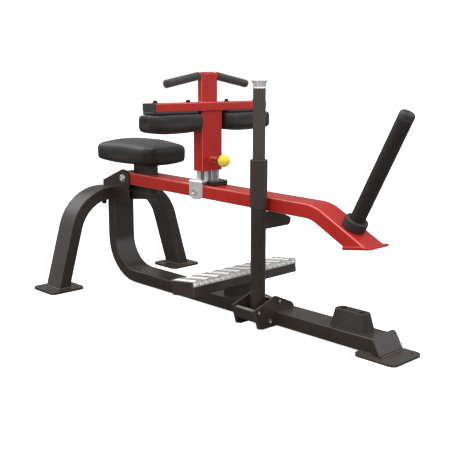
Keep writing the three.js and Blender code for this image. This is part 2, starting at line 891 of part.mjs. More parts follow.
// The rubber block that stops the lever, with two deep screw holes in its top.
function bumpStop() {
  const low = roundedOutline(bumpLong, bumpWide, bumpCorner);
  const high = roundedOutline(bumpTopLong, bumpTopWide, bumpCorner);
  const points = [
    ...low.map(([x, y]) => new THREE.Vector3(x, y, 0)),
    ...high.map(([x, y]) => new THREE.Vector3(x, y, bumpHigh)),
  ];
  const faces = [];
  const count = low.length;
  for (let i = 0; i < count; i++) {
    const next = (i + 1) % count;
    faces.push([i, next, count + next], [i, count + next, count + i]);
  }
  for (let i = 1; i < count - 1; i++) {
    faces.push([0, i + 1, i], [count, count + i, count + i + 1]);
  }
  const block = closedGeometry(points, faces);
  const hole = (x) =>
    moved(rod(bumpHoleRadius, bumpHigh - bumpHoleDeep, bumpHigh + overrun, "z"), x, 0, 0);
  const drilled = cut(block, hole(-bumpHoleSpread), hole(bumpHoleSpread));
  add("bump_stop", drilled, rubber).position.set(bumpX, 0, beamHigh + seatGap);
}

// The clevis plates, one behind and one ahead of the post, notched over the beam.
function clevis() {
  const side = -tubeWide / 2 - seatGap;
  const top = beamHigh + seatGap;
  const outerCorners = clevisOuterShares.map(([shareOut, shareUp]) => [
    side - shareOut * clevisReach,
    beamLow + shareUp * clevisHigh,
  ]);
  const overCorners = clevisOverShares.map(([shareOver, shareUp]) => [
    side + shareOver * clevisTopReach,
    beamLow + shareUp * clevisHigh,
  ]);
  const outline = [
    [side, beamLow],
    ...outerCorners,
    ...overCorners,
    [side + clevisTopReach, top],
    [side, top],
  ];
  const inside = clevisInside / 2;
  const reach = inside + clevisThick + overrun;
  const drills = [
    [catchY, catchPivotZ, catchPivotRadius],
    [innerStopY, innerStopZ, stopBoltRadius],
    [outerStopY, outerStopZ, stopBoltRadius],
  ].map(([y, z, radius]) => moved(rod(radius + runningGap, -reach, reach, "x"), catchX, y, z));
  for (const [name, from] of [
    ["catch_plate_front", catchX + inside],
    ["catch_plate_rear", catchX - inside - clevisThick],
  ]) {
    add(name, cut(plateAlongX(outline, from, clevisThick), ...drills), darkPaint);
  }
  const [lowY, lowZ] = outerCorners[2];
  const [highY, highZ] = outerCorners[3];
  const web = [
    [lowY, lowZ],
    [lowY + webThick, lowZ],
    [highY + webThick, highZ],
    [highY, highZ],
  ];
  const webLong = clevisInside - 2 * seatGap;
  add("catch_web", plateAlongX(web, catchX - webLong / 2, webLong), darkPaint);
}

// A bolt along X through both clevis plates, thicker between them, with a head at each end.
function clevisBolt(name, y, z, boltRadius, bodyRadius, headRadius, headHigh, look) {
  const inside = clevisInside / 2 - seatGap;
  const outside = clevisInside / 2 + clevisThick + seatGap;
  const half = [
    [headRadius, outside + headHigh],
    [headRadius, outside],
    [boltRadius, outside],
    [boltRadius, inside],
    [bodyRadius, inside],
  ];
  const back = half.map(([radius, distance]) => [radius, -distance]);
  const profile = [
    [0, -outside - headHigh],
    ...back,
    ...half.toReversed(),
    [0, outside + headHigh],
  ];
  add(name, moved(turned(profile, "x", smallSteps), catchX, y, z), look);
}

function clevisBolts() {
  clevisBolt(
    "catch_pivot_bolt",
    catchY,
    catchPivotZ,
    catchPivotRadius,
    catchPivotRadius - runningGap,
    catchPivotHead,
    catchPivotHeadHigh,
    zinc,
  );
  clevisBolt(
    "catch_inner_stop",
    innerStopY,
    innerStopZ,
    stopBoltRadius,
    stopSpacerRadius,
    stopHead,
    stopHeadHigh,
    zinc,
  );
  clevisBolt(
    "catch_outer_stop",
    outerStopY,
    outerStopZ,
    stopBoltRadius,
    stopSpacerRadius,
    stopHead,
    stopHeadHigh,
    zinc,
  );
}

// Points of the lever's middle line.
const leverHeight = (x) => hingeZ - (x - hingeX) * Math.tan(leverDrop);
const leverCorner = new THREE.Vector2(leverBendX, leverHeight(leverBendX));
const frontAlong = new THREE.Vector2(Math.cos(leverFrontDrop), -Math.sin(leverFrontDrop));
const frontUp = new THREE.Vector2(Math.sin(leverFrontDrop), Math.cos(leverFrontDrop));
const leverEnd = leverCorner.clone().addScaledVector(frontAlong, leverFrontRun);
const leverEndHalf = tubeDeep / 2 / Math.sin(leverFrontDrop + leverEndTilt);
const kneePivotX = hingeX + kneePivotRun * Math.cos(leverDrop);
const kneePivotZ = leverHeight(kneePivotX);

// The bent lever tube, slotted for the seat post and bored for the hub and the knee bracket's bolt.
function leverArm() {
  const run = bentRun(
    [
      [leverBackX, leverHeight(leverBackX)],
      [leverCorner.x, leverCorner.y],
      [leverEnd.x, leverEnd.y],
    ],
    leverBend,
  );
  slantEnd(run, -1, new THREE.Vector2(Math.cos(leverEndTilt), Math.sin(leverEndTilt)));
  const outer = roundedOutline(leverWide, tubeDeep, leverEdge);
  const inner = roundedOutline(
    leverWide - 2 * tubeWall,
    tubeDeep - 2 * tubeWall,
    leverEdge - tubeWall,
  );
  const arm = sweep(run, outer, inner, acrossY);
  const slotHalf = seatPostDeep / 2 + slotSide;
  const slot = box(
    seatPostBack - slotEnd,
    seatPostFront + slotEnd,
    -slotHalf,
    slotHalf,
    hingeZ - tubeDeep,
    hingeZ + tubeDeep,
  );
  const half = leverWide / 2 + overrun;
  const hub = moved(rod(hubRadius, -leverWide / 2, leverWide / 2, "y"), hingeX, 0, hingeZ);
  const axleHole = moved(rod(axleRadius + runningGap, -half, half, "y"), hingeX, 0, hingeZ);
  const boltHole = rod(bracketBoltRadius + runningGap, -half, half, "y");
  moved(boltHole, kneePivotX, 0, kneePivotZ);
  add("lever_arm", cut(join(cut(arm, slot), hub), axleHole, boltHole), redPaint);
}

// The plate under the lever's slanted end, which lands on the bump stop.
function leverEndPlate() {
  const group = new THREE.Group();
  group.position.set(leverEnd.x, 0, leverEnd.y);
  group.rotation.y = -leverEndTilt;
  const plate = box(
    -leverEndHalf - leverEndPlateBack,
    leverEndHalf + leverEndPlateFront,
    -leverWide / 2,
    leverWide / 2,
    -seatGap - leverEndPlateThick,
    -seatGap,
  );
  add("lever_end_plate", plate, redPaint, group);
  machine.add(group);
}

// The horn that takes the weight plates, square to the lever's front run.
function weightHorn() {
  const heel = collarRadius * Math.tan(Math.abs(leverFrontDrop - hornLean));
  const foot = leverCorner
    .clone()
    .addScaledVector(frontAlong, hornRun)
    .addScaledVector(frontUp, tubeDeep / 2 + heel + seatGap);
  const group = new THREE.Group();
  group.position.set(foot.x, 0, foot.y);
  group.rotation.y = hornLean;
  const bore = hornRadius + seatGap;
  const collar = turned([
    [bore, 0],
    [collarRadius, 0],
    [collarRadius, collarHigh - collarEdge],
    [collarRadius - collarEdge, collarHigh],
    [bore, collarHigh],
    [bore, 0],
  ]);
  add("horn_collar", collar, rubber, group);
  add("weight_horn", ringTube(hornRadius, hornRadius - hornWall, 0, hornLength), blackSteel, group);
  const plugRadius = hornRadius - hornWall - seatGap;
  const capLow = hornLength + seatGap;
  const capTop = capLow + hornCapHigh;
  const cap = turned([
    [0, capLow - hornCapPlug],
    [plugRadius, capLow - hornCapPlug],
    [plugRadius, capLow],
    [hornRadius, capLow],
    [hornRadius, capTop - hornCapEdge],
    [hornRadius - hornCapEdge / 3, capTop - hornCapEdge / 3],
    [hornRadius - hornCapEdge, capTop],
    [hornRadius - 1.5 * hornCapEdge, capTop],
    [hornRadius / 3, capTop - hornCapDish],
    [0, capTop - hornCapDish],
  ]);
  add("horn_cap", cap, plastic, group);
  machine.add(group);
}

// The chrome bracket over the lever, its bolt, the inner post and the rubber it leans on.
const kneePostX = kneePivotX + kneePostAhead;
const bracketTop = kneePivotZ + bracketTopUnder + bracketTopThick;
function kneeBase() {
  const inY = leverWide / 2 + bracketPlay;
  const outY = inY + bracketThick;
  const bottom = kneePivotZ - bracketLow;
  const underTop = kneePivotZ + bracketTopUnder;
  const half = bracketLong / 2;
  const bend = bracketThick / 2;
  const channel = plateAlongX(
    [
      [-outY, bottom],
      [-inY, bottom],
      [-inY, underTop],
      [inY, underTop],
      [inY, bottom],
      [outY, bottom],
      [outY, bracketTop - bend],
      [outY - bend, bracketTop],
      [bend - outY, bracketTop],
      [-outY, bracketTop - bend],
    ],
    kneePivotX - half,
    bracketLong,
  );
  const sideView = [
    [kneePivotX - half, bracketTop + overrun],
    [kneePivotX - half, bottom + bracketEarCorner],
  ];
  for (let i = 0; i <= bendSteps; i++) {
    const angle = Math.PI * (1 + i / bendSteps);
    sideView.push([
      kneePivotX + half * Math.cos(angle),
      bottom + bracketEarCorner + bracketEarCorner * Math.sin(angle),
    ]);
  }
  sideView.push([kneePivotX + half, bracketTop + overrun]);
  const distinct = sideView.filter(
    ([x, z], i) => i === 0 || Math.hypot(x - sideView[i - 1][0], z - sideView[i - 1][1]) > seatGap,
  );
  const ears = plateAlongY(distinct.toReversed(), -outY - overrun, 2 * (outY + overrun));
  const boltHole = rod(bracketBoltRadius + runningGap, -outY - overrun, outY + overrun, "y");
  moved(boltHole, kneePivotX, 0, kneePivotZ);
  add("pivot_bracket", cut(common(channel, ears), boltHole), chrome);

  const face = outY + seatGap;
  const head = [
    [bracketBoltHead / 2, face + bracketBoltHeadHigh],
    [bracketBoltHead, face + bracketBoltHeadHigh / 2],
    [bracketBoltHead, face],
    [bracketBoltRadius, face],
  ];
  const bolt = turned(
    [
      [0, -face - bracketBoltHeadHigh],
      ...head.map(([radius, distance]) => [radius, -distance]),
      ...head.toReversed(),
      [0, face + bracketBoltHeadHigh],
    ],
    "y",
  );
  add("bracket_bolt", moved(bolt, kneePivotX, 0, kneePivotZ), chrome);

  const post = standingTube(
    kneePostX,
    bracketTop + seatGap,
    innerPostTop,
    innerPostDeep,
    innerPostWide,
    tubeWall,
    innerPostCorner,
  );
  const holes = [];
  for (let z = pinZ; z + 2 * pinRadius < innerPostTop; z += pinHolePitch) {
    const hole = rod(pinRadius + runningGap, kneePostX, kneePostX + innerPostDeep, "x", smallSteps);
    holes.push(moved(hole, 0, 0, z));
  }
  add("inner_post", cut(post.build(), ...holes), chrome);

  const bumperFrom = kneePivotX + half + 2 * runningGap;
  const bumperFoot = leverHeight(bumperFrom) + tubeDeep / 2 / Math.cos(leverDrop);
  const group = new THREE.Group();
  group.position.set(bumperFrom, 0, bumperFoot + seatGap);
  group.rotation.y = leverDrop;
  const block = plateAlongX(
    roundedOutline(bumperWide, bumperHigh, bumperCorner).map(([y, z]) => [y, z + bumperHigh / 2]),
    0,
    bumperLong,
  );
  add("knee_bumper", block, rubber, group);
  machine.add(group);
}

// What slides on the inner post, from here to the pull pin. The outer post carries the pin's housing.
const postFaceX = kneePostX + tubeDeep / 2;
const pinBore = pinRadius + runningGap;
function outerPost() {
  const outer = standingTube(
    kneePostX,
    kneePostLow,
    crossBarLow - seatGap,
    tubeDeep,
    tubeWide,
    tubeWall,
    tubeCorner,
  );
  const housing = turned(
    [
      [0, -tubeWall / 2],
      [housingRadius, -tubeWall / 2],
      [housingRadius, housingLong],
      [0, housingLong],
    ],
    "x",
  );
  const chamber = rod(housingChamber, housingEnd, housingLong - housingEnd, "x");
  const pinHole = rod(pinBore, kneePostX, postFaceX + housingLong + overrun, "x", smallSteps);
  const post = join(outer.build(), moved(housing, postFaceX, 0, pinZ));
  const hollows = [moved(chamber, postFaceX, 0, pinZ), moved(pinHole, 0, 0, pinZ)];
  add("outer_post", cut(post, ...hollows), redPaint);
}

// The liner that fills the space between the two posts at the lower end.
function kneeLiner() {
  const linerWall = [
    (tubeWide - 2 * tubeWall - innerPostWide) / 2 - seatGap - runningGap,
    (tubeDeep - 2 * tubeWall - innerPostDeep) / 2 - seatGap - runningGap,
  ];
  const linerWide = innerPostWide + 2 * (linerWall[0] + runningGap);
  const linerDeep = innerPostDeep + 2 * (linerWall[1] + runningGap);
  const linerRun = [kneePostLow, kneePostLow + linerHigh].map((z) => ({
    at: new THREE.Vector2(kneePostX, z),
    along: new THREE.Vector2(0, 1),
  }));
  const liner = sweep(
    linerRun,
    roundedOutline(linerWide, linerDeep, tubeCorner - tubeWall),
    roundedOutline(
      innerPostWide + 2 * runningGap,
      innerPostDeep + 2 * runningGap,
      innerPostCorner,
    ),
    acrossY,
  );
  add("knee_liner", liner, plastic);
}

// Places shared by the cross bar, its caps, the pads and their bolts.
const barEnd = crossBarLong / 2;
const barMiddle = crossBarLow + crossBarHigh / 2;
const barTop = crossBarLow + crossBarHigh;
const barInner = [crossBarDeep - 2 * crossBarWall, crossBarHigh - 2 * crossBarWall];
const padTop = crossBarLow - padBoardThick - 2 * seatGap;
const boltPlaces = sides.flatMap(([hand, side]) => [
  ["outer_" + hand, side * padBoltOuter],
  ["inner_" + hand, side * padBoltInner],
]);
const boltHoles = boltPlaces.map(([, y]) =>
  moved(rod(padBoltRadius + runningGap, padTop, barTop + overrun, "z", smallSteps), kneePostX, y, 0),
);

function crossBar() {
  const barRun = [-barEnd, barEnd].map((y) => ({
    at: new THREE.Vector2(y, barMiddle),
    along: new THREE.Vector2(1, 0),
  }));
  const crossTube = sweep(
    barRun,
    roundedOutline(crossBarDeep, crossBarHigh, crossBarCorner),
    roundedOutline(...barInner, crossBarCorner - crossBarWall),
    acrossX(kneePostX),
  );
  add("cross_bar", cut(crossTube, ...boltHoles), redPaint);
}

// A plastic cap with a plug, in one end of the cross bar.
function barCap(name, side) {
  const flange = box(
    kneePostX - crossBarDeep / 2,
    kneePostX + crossBarDeep / 2,
    side > 0 ? barEnd + seatGap : -barEnd - seatGap - barCapThick,
    side > 0 ? barEnd + seatGap + barCapThick : -barEnd - seatGap,
    crossBarLow,
    barTop,
  );
  const plugOutline = roundedOutline(
    barInner[0] - 2 * seatGap,
    barInner[1] - 2 * seatGap,
    crossBarCorner - crossBarWall,
  ).map(([x, z]) => [x + kneePostX, z + barMiddle]);
  const plug = plateAlongY(
    plugOutline,
    side > 0 ? barEnd - barCapPlug : -barEnd - barCapThick,
    barCapPlug + barCapThick,
  );
  add(name, join(flange, plug), plastic);
}

// A bolt through the cross bar into a pad's board, with a washer and a domed nut on top.
function padBolt(name, y) {
  const washer = barTop + seatGap + padBoltWasherHigh;
  const bolt = turned(
    [
      [0, padTop + seatGap],
      [padBoltRadius, padTop + seatGap],
      [padBoltRadius, barTop + seatGap],
      [padBoltWasher, barTop + seatGap],
      [padBoltWasher, washer],
      [padBoltHead, washer],
      [padBoltHead, washer + padBoltHeadHigh / 2],
      [padBoltHead / 2, washer + padBoltHeadHigh],
      [0, washer + padBoltHeadHigh],
    ],
    "z",
    smallSteps,
  );
  add(name, moved(bolt, kneePostX, y, 0), blackSteel);
}

// A knee pad, crown down, and the board over it.
function kneePad(hand, side) {
  const padMiddle = side * (padInner + padLong / 2);
  const board = roundedOutline(
    padDeep - 2 * padBoardInset,
    padLong - 2 * padBoardInset,
    padCorner / 2,
  ).map(([x, y]) => [x + kneePostX, y + padMiddle]);
  const boardPlate = plateAlongZ(board, padTop + seatGap, padBoardThick);
  add("pad_board_" + hand, cut(boardPlate, ...boltHoles), plastic);
  const pad = add("knee_pad_" + hand, cushion(padDeep, padLong, padHigh, padCorner), leather);
  pad.rotation.y = Math.PI;
  pad.position.set(kneePostX, padMiddle, padTop);
}

// The middle line of the handle tube, level over the post and falling towards both ends.
function handleRun(length) {
  const tip = handleKink + length * Math.cos(handleFall);
  const tipZ = handleTop - length * Math.sin(handleFall);
  return bentRun(
    [
      [-tip, tipZ],
      [-handleKink, handleTop],
      [handleKink, handleTop],
      [tip, tipZ],
    ],
    handleBend,
    cornerSteps,
  );
}

// The upper post with the handle tube across its top.
function handleMast() {
  const upper = standingTube(
    kneePostX,
    barTop + seatGap,
    upperPostTop,
    upperPostDeep,
    upperPostWide,
    crossBarWall,
    upperPostCorner,
  );
  const circle = (radius) => {
    const points = [];
    for (let i = 0; i < smallSteps; i++) {
      const angle = (2 * Math.PI * i) / smallSteps;
      points.push([radius * Math.cos(angle), radius * Math.sin(angle)]);
    }
    return points;
  };
  const across = acrossX(kneePostX);
  const bar = sweep(handleRun(handleArm), circle(handleRadius), null, across);
  const bore = sweep(
    handleRun(handleArm + overrun),
    circle(handleRadius - handleWall),
    null,
    across,
  );
  add("handle_mast", cut(join(upper.build(), bar), bore), redPaint);
}

// A foam grip, closed at its outer end, along one arm of the handle.
function handleGrip(name, side) {
  const group = new THREE.Group();
  group.position.set(kneePostX, side * handleKink, handleTop);
  group.rotation.x = -side * handleFall;
  const gripBore = handleRadius + seatGap;
  const end = handleArm + seatGap + gripEndThick;
  const profile = [
    [gripBore, gripStart],
    [gripRadius, gripStart],
    [gripRadius, end - gripEdge],
    [gripRadius - gripEdge / 3, end - gripEdge / 3],
    [gripRadius - gripEdge, end],
    [0, end],
    [0, handleArm + seatGap],
    [gripBore, handleArm + seatGap],
    [gripBore, gripStart],
  ].map(([radius, distance]) => [radius, side * distance]);
  const grip = turned(side > 0 ? profile : profile.toReversed(), "y");
  add(name, grip, foam, group);
  machine.add(group);
}

// The pull pin and its ball knob.
function pullPin() {
  const noseX = kneePostX + innerPostDeep / 2 + runningGap;
  const pin = rod(pinRadius, 0, pinLength, "x", smallSteps);
  add("pull_pin", moved(pin, noseX, 0, pinZ), zinc);
  const ball = new THREE.SphereGeometry(knobRadius, roundSteps, roundSteps / 2);
  moved(ball, postFaceX + knobAhead, 0, pinZ);
  const socket = rod(pinBore, noseX, noseX + pinLength + seatGap, "x", smallSteps);
  add("pin_knob", cut(ball, moved(socket, 0, 0, pinZ)), yellowPlastic);
}

// The catch: pivot tube, post, sleeve, handle tube with its flared cap, and the arm under the lever.
function catchPost() {
  const pivotHalf = clevisInside / 2 - seatGap;
  const pivot = rod(catchPivotTube, -pivotHalf, pivotHalf, "x");
  moved(pivot, catchX, catchY, catchPivotZ);
  const reach = pivotHalf + overrun;
  const pivotHole = rod(catchPivotRadius + runningGap, -reach, reach, "x");
  moved(pivotHole, catchX, catchY, catchPivotZ);
  const tubeTop = sleeveHigh - sleeveLip;
  const inside = catchTubeRadius - catchTubeWall;
  const tube = moved(ringTube(catchTubeRadius, inside, catchPivotZ, tubeTop), catchX, catchY, 0);
  const pad = box(
    catchX - stopPadWide / 2,
    catchX + stopPadWide / 2,
    catchY + inside + catchTubeWall / 2,
    -tubeWide / 2 - runningGap,
    stopPadLow,
    stopPadHigh,
  );
  add("catch_tube", cut(join(tube, pivot, pad), pivotHole), darkPaint);

  const bore = catchTubeRadius + seatGap;
  const sleeve = turned([
    [bore, sleeveLow],
    [sleeveRadius, sleeveLow],
    [sleeveRadius, sleeveHigh - sleeveLip],
    [sleeveRadius - sleeveLip / 2, sleeveHigh],
    [handleTubeRadius + seatGap, sleeveHigh],
    [handleTubeRadius + seatGap, tubeTop + seatGap],
    [bore, tubeTop + seatGap],
    [bore, sleeveLow],
  ]);
  add("catch_sleeve", moved(sleeve, catchX, catchY, 0), darkPaint);

  const handleInside = handleTubeRadius - handleTubeWall;
  const handle = ringTube(handleTubeRadius, handleInside, handleTubeLow, handleTubeHigh);
  add("catch_handle", moved(handle, catchX, catchY, 0), darkPaint);

  const plug = handleInside - seatGap;
  const capLow = handleTubeHigh + seatGap;
  const cap = turned([
    [0, handleTubeHigh - capPlug],
    [plug, handleTubeHigh - capPlug],
    [plug, capLow],
    [handleTubeRadius + capFoot / 4, capLow],
    [handleTubeRadius - capFoot / 4, capLow + capFoot],
    [handleTubeRadius, capLow + capHigh / 2],
    [capWide - capFoot, capLow + capHigh - capFoot],
    [capWide, capLow + capHigh - capFoot / 2],
    [capWide - capFoot / 2, capLow + capHigh],
    [0, capLow + capHigh],
  ]);
  add("catch_cap", moved(cap, catchX, catchY, 0), chrome);

  // The arm's top is an arc about the pivot, so that it slides out from under the lever.
  const leverUnder = leverHeight(catchX) - tubeDeep / 2 / Math.cos(leverDrop);
  const edge = -leverWide / 2 - catchY;
  const rise = leverUnder - armThick * Math.tan(leverDrop) - runningGap - catchPivotZ;
  const armRadius = Math.hypot(edge, rise);
  const outline = [
    [catchY, armLow],
    [armReachY - armCorner, armLow],
  ];
  for (let i = 1; i <= bendSteps; i++) {
    const angle = (Math.PI / 2) * (i / bendSteps);
    outline.push([
      armReachY - armCorner + armCorner * Math.sin(angle),
      armLow + armCorner - armCorner * Math.cos(angle),
    ]);
  }
  for (let i = 0; i <= bendSteps; i++) {
    const y = armReachY + ((catchY - armReachY) * i) / bendSteps;
    outline.push([y, catchPivotZ + Math.sqrt(armRadius ** 2 - (y - catchY) ** 2)]);
  }
  const arm = plateAlongX(outline, catchX - armThick / 2, armThick);
  const post = moved(rod(catchTubeRadius + seatGap, 0, sleeveHigh, "z"), catchX, catchY, 0);
  add("catch_arm", cut(arm, post), darkPaint);
}

mainFrame();
frontEndPlate();
footPlate("front_foot", frontFootX, 0, [[1, 1]]);
for (const [hand, side] of sides) {
  footPlate("rear_foot_" + hand, 0, side * rearFootSpread, [
    [-1, -1],
    [1, 1],
  ]);
  rearLeg("rear_leg_" + hand, side);
  hingePlate("hinge_plate_" + hand, side);
  legBolt("leg_bolt_" + hand, side);
}
leverAxle();
seatUnit();
footStep();
bumpStop();
clevis();
clevisBolts();
leverArm();
leverEndPlate();
weightHorn();
kneeBase();
outerPost();
kneeLiner();
crossBar();
for (const [place, y] of boltPlaces) padBolt("pad_bolt_" + place, y);
for (const [hand, side] of sides) {
  barCap("bar_cap_" + hand, side);
  kneePad(hand, side);
}
handleMast();
for (const [hand, side] of sides) handleGrip("grip_" + hand, side);
pullPin();
catchPost();

// The origin is on the floor, in the middle of the machine's length and width.
const seatedCalfRaise = new THREE.Group();
machine.position.x = -(machineBack + machineFront) / 2;
seatedCalfRaise.add(machine);

export default seatedCalfRaise;
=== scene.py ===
"""Looks of the seated calf raise machine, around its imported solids. Lengths are in metres."""

import json
import math

import bmesh
import bpy
import numpy as np
from mathutils import Matrix, Vector


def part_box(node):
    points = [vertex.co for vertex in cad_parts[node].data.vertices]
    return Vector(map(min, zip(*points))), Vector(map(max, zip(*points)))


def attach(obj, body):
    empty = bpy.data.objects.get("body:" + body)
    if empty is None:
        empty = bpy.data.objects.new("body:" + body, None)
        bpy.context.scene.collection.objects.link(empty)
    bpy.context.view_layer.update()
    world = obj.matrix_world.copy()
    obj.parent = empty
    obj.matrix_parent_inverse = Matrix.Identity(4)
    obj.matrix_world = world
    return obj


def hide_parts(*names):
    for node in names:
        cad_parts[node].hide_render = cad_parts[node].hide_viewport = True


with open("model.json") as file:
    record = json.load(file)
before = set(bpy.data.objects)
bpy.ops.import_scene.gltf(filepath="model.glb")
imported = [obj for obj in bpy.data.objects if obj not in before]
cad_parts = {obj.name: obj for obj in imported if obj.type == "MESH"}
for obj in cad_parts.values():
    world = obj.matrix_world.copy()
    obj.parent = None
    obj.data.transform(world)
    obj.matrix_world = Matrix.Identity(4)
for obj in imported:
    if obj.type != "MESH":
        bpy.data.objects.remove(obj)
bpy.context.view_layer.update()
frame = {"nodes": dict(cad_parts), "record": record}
nodes = frame["nodes"]
scene = bpy.context.scene

# ------ camera
AZIMUTH, ELEVATION = math.radians(46.43), math.radians(10.64)
FOCAL_PX, FRAME_PX, SHIFT_PX = 778.8, 450.0, -0.1
SENSOR_MM = 36
CAMERA_AT = (2.0078, -1.9446, 0.8435)

right = Vector((math.cos(AZIMUTH), math.sin(AZIMUTH), 0))
ahead = Vector(
    (
        -math.sin(AZIMUTH) * math.cos(ELEVATION),
        math.cos(AZIMUTH) * math.cos(ELEVATION),
        -math.sin(ELEVATION),
    )
)
camera_data = bpy.data.cameras.new("camera")
camera_data.sensor_width = SENSOR_MM
camera_data.sensor_fit = "HORIZONTAL"
camera_data.lens = FOCAL_PX / FRAME_PX * SENSOR_MM
camera_data.shift_x = SHIFT_PX / FRAME_PX
camera = bpy.data.objects.new("camera", camera_data)
turn = Matrix((right, right.cross(ahead), -ahead)).transposed().to_4x4()
camera.matrix_world = Matrix.Translation(CAMERA_AT) @ turn
scene.collection.objects.link(camera)
scene.camera = camera
scene.view_settings.view_transform = "Standard"

# ------ materials
MOST = (0.3, 0.7)  # where most values of a noise lie
SPECULAR = 0.45
BEVEL_SAMPLES = 4
EDGE_FADE = (0.02, 0.22)  # how far a rounded normal turns off, from a plain edge to a fully paled one, worn and painted as highlight
CORNER_FADE = (0.36, 0.485)  # where the painted corner highlight fades in: a normal's part along an axis times the rest, 0.5 at mid-corner
DARKEST = 4
HORN_LEAN = 0.466


def linear(rgb):
    """A colour with channels of 0 to 255 as the renderer's own, with full alpha."""

    def channel(c):
        return c / 12.92 if c <= 0.04045 else ((c + 0.055) / 1.055) ** 2.4

    return tuple(channel(c / 255) for c in rgb) + (1.0,)


def shifted(rgb, by):
    """A colour made lighter or darker, but never quite black."""
    return tuple(max(c + by, DARKEST) for c in rgb)


def feed(tree, socket, value):
    """Links a socket to another one, or gives it a plain value."""
    if isinstance(value, bpy.types.NodeSocket):
        tree.links.new(value, socket)
    else:
        socket.default_value = value


def shader(tree, kind, fed=(), **settings):
    """A new node with its settings, and with the sockets that fed names linked or set."""
    made = tree.nodes.new("ShaderNode" + kind)
    for key, value in settings.items():
        setattr(made, key, value)
    for key, value in dict(fed).items():
        feed(tree, made.inputs[key], value)
    return made


class Look:
    """One procedural material, its textures in each object's own coordinates. Colours given as
    rgb have channels of 0 to 255, and span maps fade's two values to those of to."""

    def __init__(self, name):
        self.mat = bpy.data.materials.new(name)
        self.mat.use_nodes = True
        self.tree = self.mat.node_tree
        self.tree.nodes.clear()
        self.bsdf = self.node("BsdfPrincipled")
        self.node("OutputMaterial", {"Surface": self.bsdf.outputs["BSDF"]})
        self.place = self.node("TexCoord").outputs["Object"]
        self.bumped = None

    def node(self, kind, fed=(), **settings):
        return shader(self.tree, kind, fed, **settings)

    def stretched(self, scale, turned=(0, 0, 0)):
        """The object's coordinates, scaled and turned."""
        fed = {"Vector": self.place, "Rotation": turned, "Scale": scale}
        return self.node("Mapping", fed).outputs["Vector"]

    def noise(self, scale, detail=3.0, rough=0.55, at=None, distortion=0.0):
        fed = {"Vector": at or self.place, "Scale": scale, "Detail": detail}
        fed.update({"Roughness": rough, "Distortion": distortion})
        return self.node("TexNoise", fed).outputs["Fac"]

    def cells(self, scale, feature="F1", at=None):
        fed = {"Vector": at or self.place, "Scale": scale}
        return self.node("TexVoronoi", fed, feature=feature).outputs["Distance"]

    def span(self, value, fade, to=(0.0, 1.0)):
        fed = {"Value": value, "From Min": fade[0], "From Max": fade[1]}
        fed.update({"To Min": to[0], "To Max": to[1]})
        return self.node("MapRange", fed).outputs["Result"]

    def maths(self, kind, a, b=0.0):
        return self.node("Math", {0: a, 1: b}, operation=kind).outputs[0]

    def times(self, a, b):
        return self.maths("MULTIPLY", a, b)

    def blend(self, share, a, b):
        fed = {"Factor": share, "A": a, "B": b}
        return self.node("Mix", fed, data_type="RGBA").outputs["Result"]

    def tones(self, value, low, high, fade=MOST):
        """A colour between two rgb ones, by a texture's value."""
        return self.blend(self.span(value, fade), linear(low), linear(high))

    def over(self, tone, share, rgb):
        """An rgb colour laid over a tone."""
        return self.blend(share, tone, linear(rgb))

    def facing(self, axis):
        """The part of the surface's normal along an axis of the object."""
        normal = self.node("TexCoord").outputs["Normal"]
        return self.node("SeparateXYZ", {0: normal}).outputs[axis]

    def corners(self, axis):
        """1 where a tube's rounded corner is halfway from the side that faces an axis to the
        side beside it: the mask of a painted highlight along the corner."""
        along = self.facing(axis)
        across = self.maths("SQRT", self.maths("SUBTRACT", 1.0, self.times(along, along)))
        return self.span(self.times(self.maths("ABSOLUTE", along), across), CORNER_FADE)

    def edges(self, radius):
        """1 along outer edges, where a coat wears thin and where a paler painted highlight stands
        for the light they catch, and 0 on the faces.
        """
        rounded = self.node("Bevel", {"Radius": radius}, samples=BEVEL_SAMPLES)
        fed = {0: rounded.outputs["Normal"], 1: self.node("NewGeometry").outputs["Normal"]}
        alike = self.node("VectorMath", fed, operation="DOT_PRODUCT").outputs["Value"]
        return self.span(self.maths("SUBTRACT", 1.0, alike), EDGE_FADE)

    def bump(self, height, strength, depth):
        """Adds a relief to those that the look already has."""
        fed = {"Strength": strength, "Distance": depth, "Height": height}
        if self.bumped is not None:
            fed["Normal"] = self.bumped
        self.bumped = self.node("Bump", fed).outputs["Normal"]
        self.set(Normal=self.bumped)

    def set(self, **values):
        """Feeds the shader's sockets, named with _ for each space."""
        for key, value in values.items():
            feed(self.tree, self.bsdf.inputs[key.replace("_", " ")], value)


def powder_coat(name, low, high, edge, roughness=0.32, axis=None):
    """Satin powder coat: fine orange peel, slow changes of tone, a paler tone on faces that look
    up, and a paler coat along edges, partly worn thin and partly a painted highlight. On a square
    tube, axis is one that its sides face, and its corners carry a painted highlight."""
    k = Look(name)
    broad = k.noise(5.0, detail=2.0, rough=0.5)
    fine = k.noise(170.0, rough=0.6)
    tone = k.tones(broad, low, high, fade=(0.25, 0.75))
    tone = k.over(tone, k.span(fine, (0.5, 0.8), to=(0.0, 0.1)), edge)
    patchy = k.span(k.noise(60.0, detail=4.0), (0.35, 0.6), to=(0.4, 1.0))
    # Paler edges: partly a thinner, worn coat and partly a painted highlight.
    tone = k.over(tone, k.times(k.times(k.edges(0.003), patchy), 0.8), edge)
    if axis:
        # A painted highlight along the tube's rounded corners.
        tone = k.over(tone, k.times(k.corners(axis), k.span(broad, MOST, to=(0.25, 0.5))), edge)
    # Paler on faces that look up.
    upward = k.span(k.facing("Z"), (0.5, 1.0))
    tone = k.over(tone, k.times(upward, k.span(broad, (0.35, 0.7), to=(0.04, 0.16))), edge)
    k.set(Base_Color=tone, Metallic=0.0, Specular_IOR_Level=SPECULAR)
    k.set(Roughness=k.span(fine, MOST, to=(roughness - 0.05, roughness + 0.06)))
    k.bump(k.noise(700.0, detail=1.0), strength=0.1, depth=0.0002)
    k.bump(k.noise(240.0, detail=2.0), strength=0.12, depth=0.0005)
    return k.mat


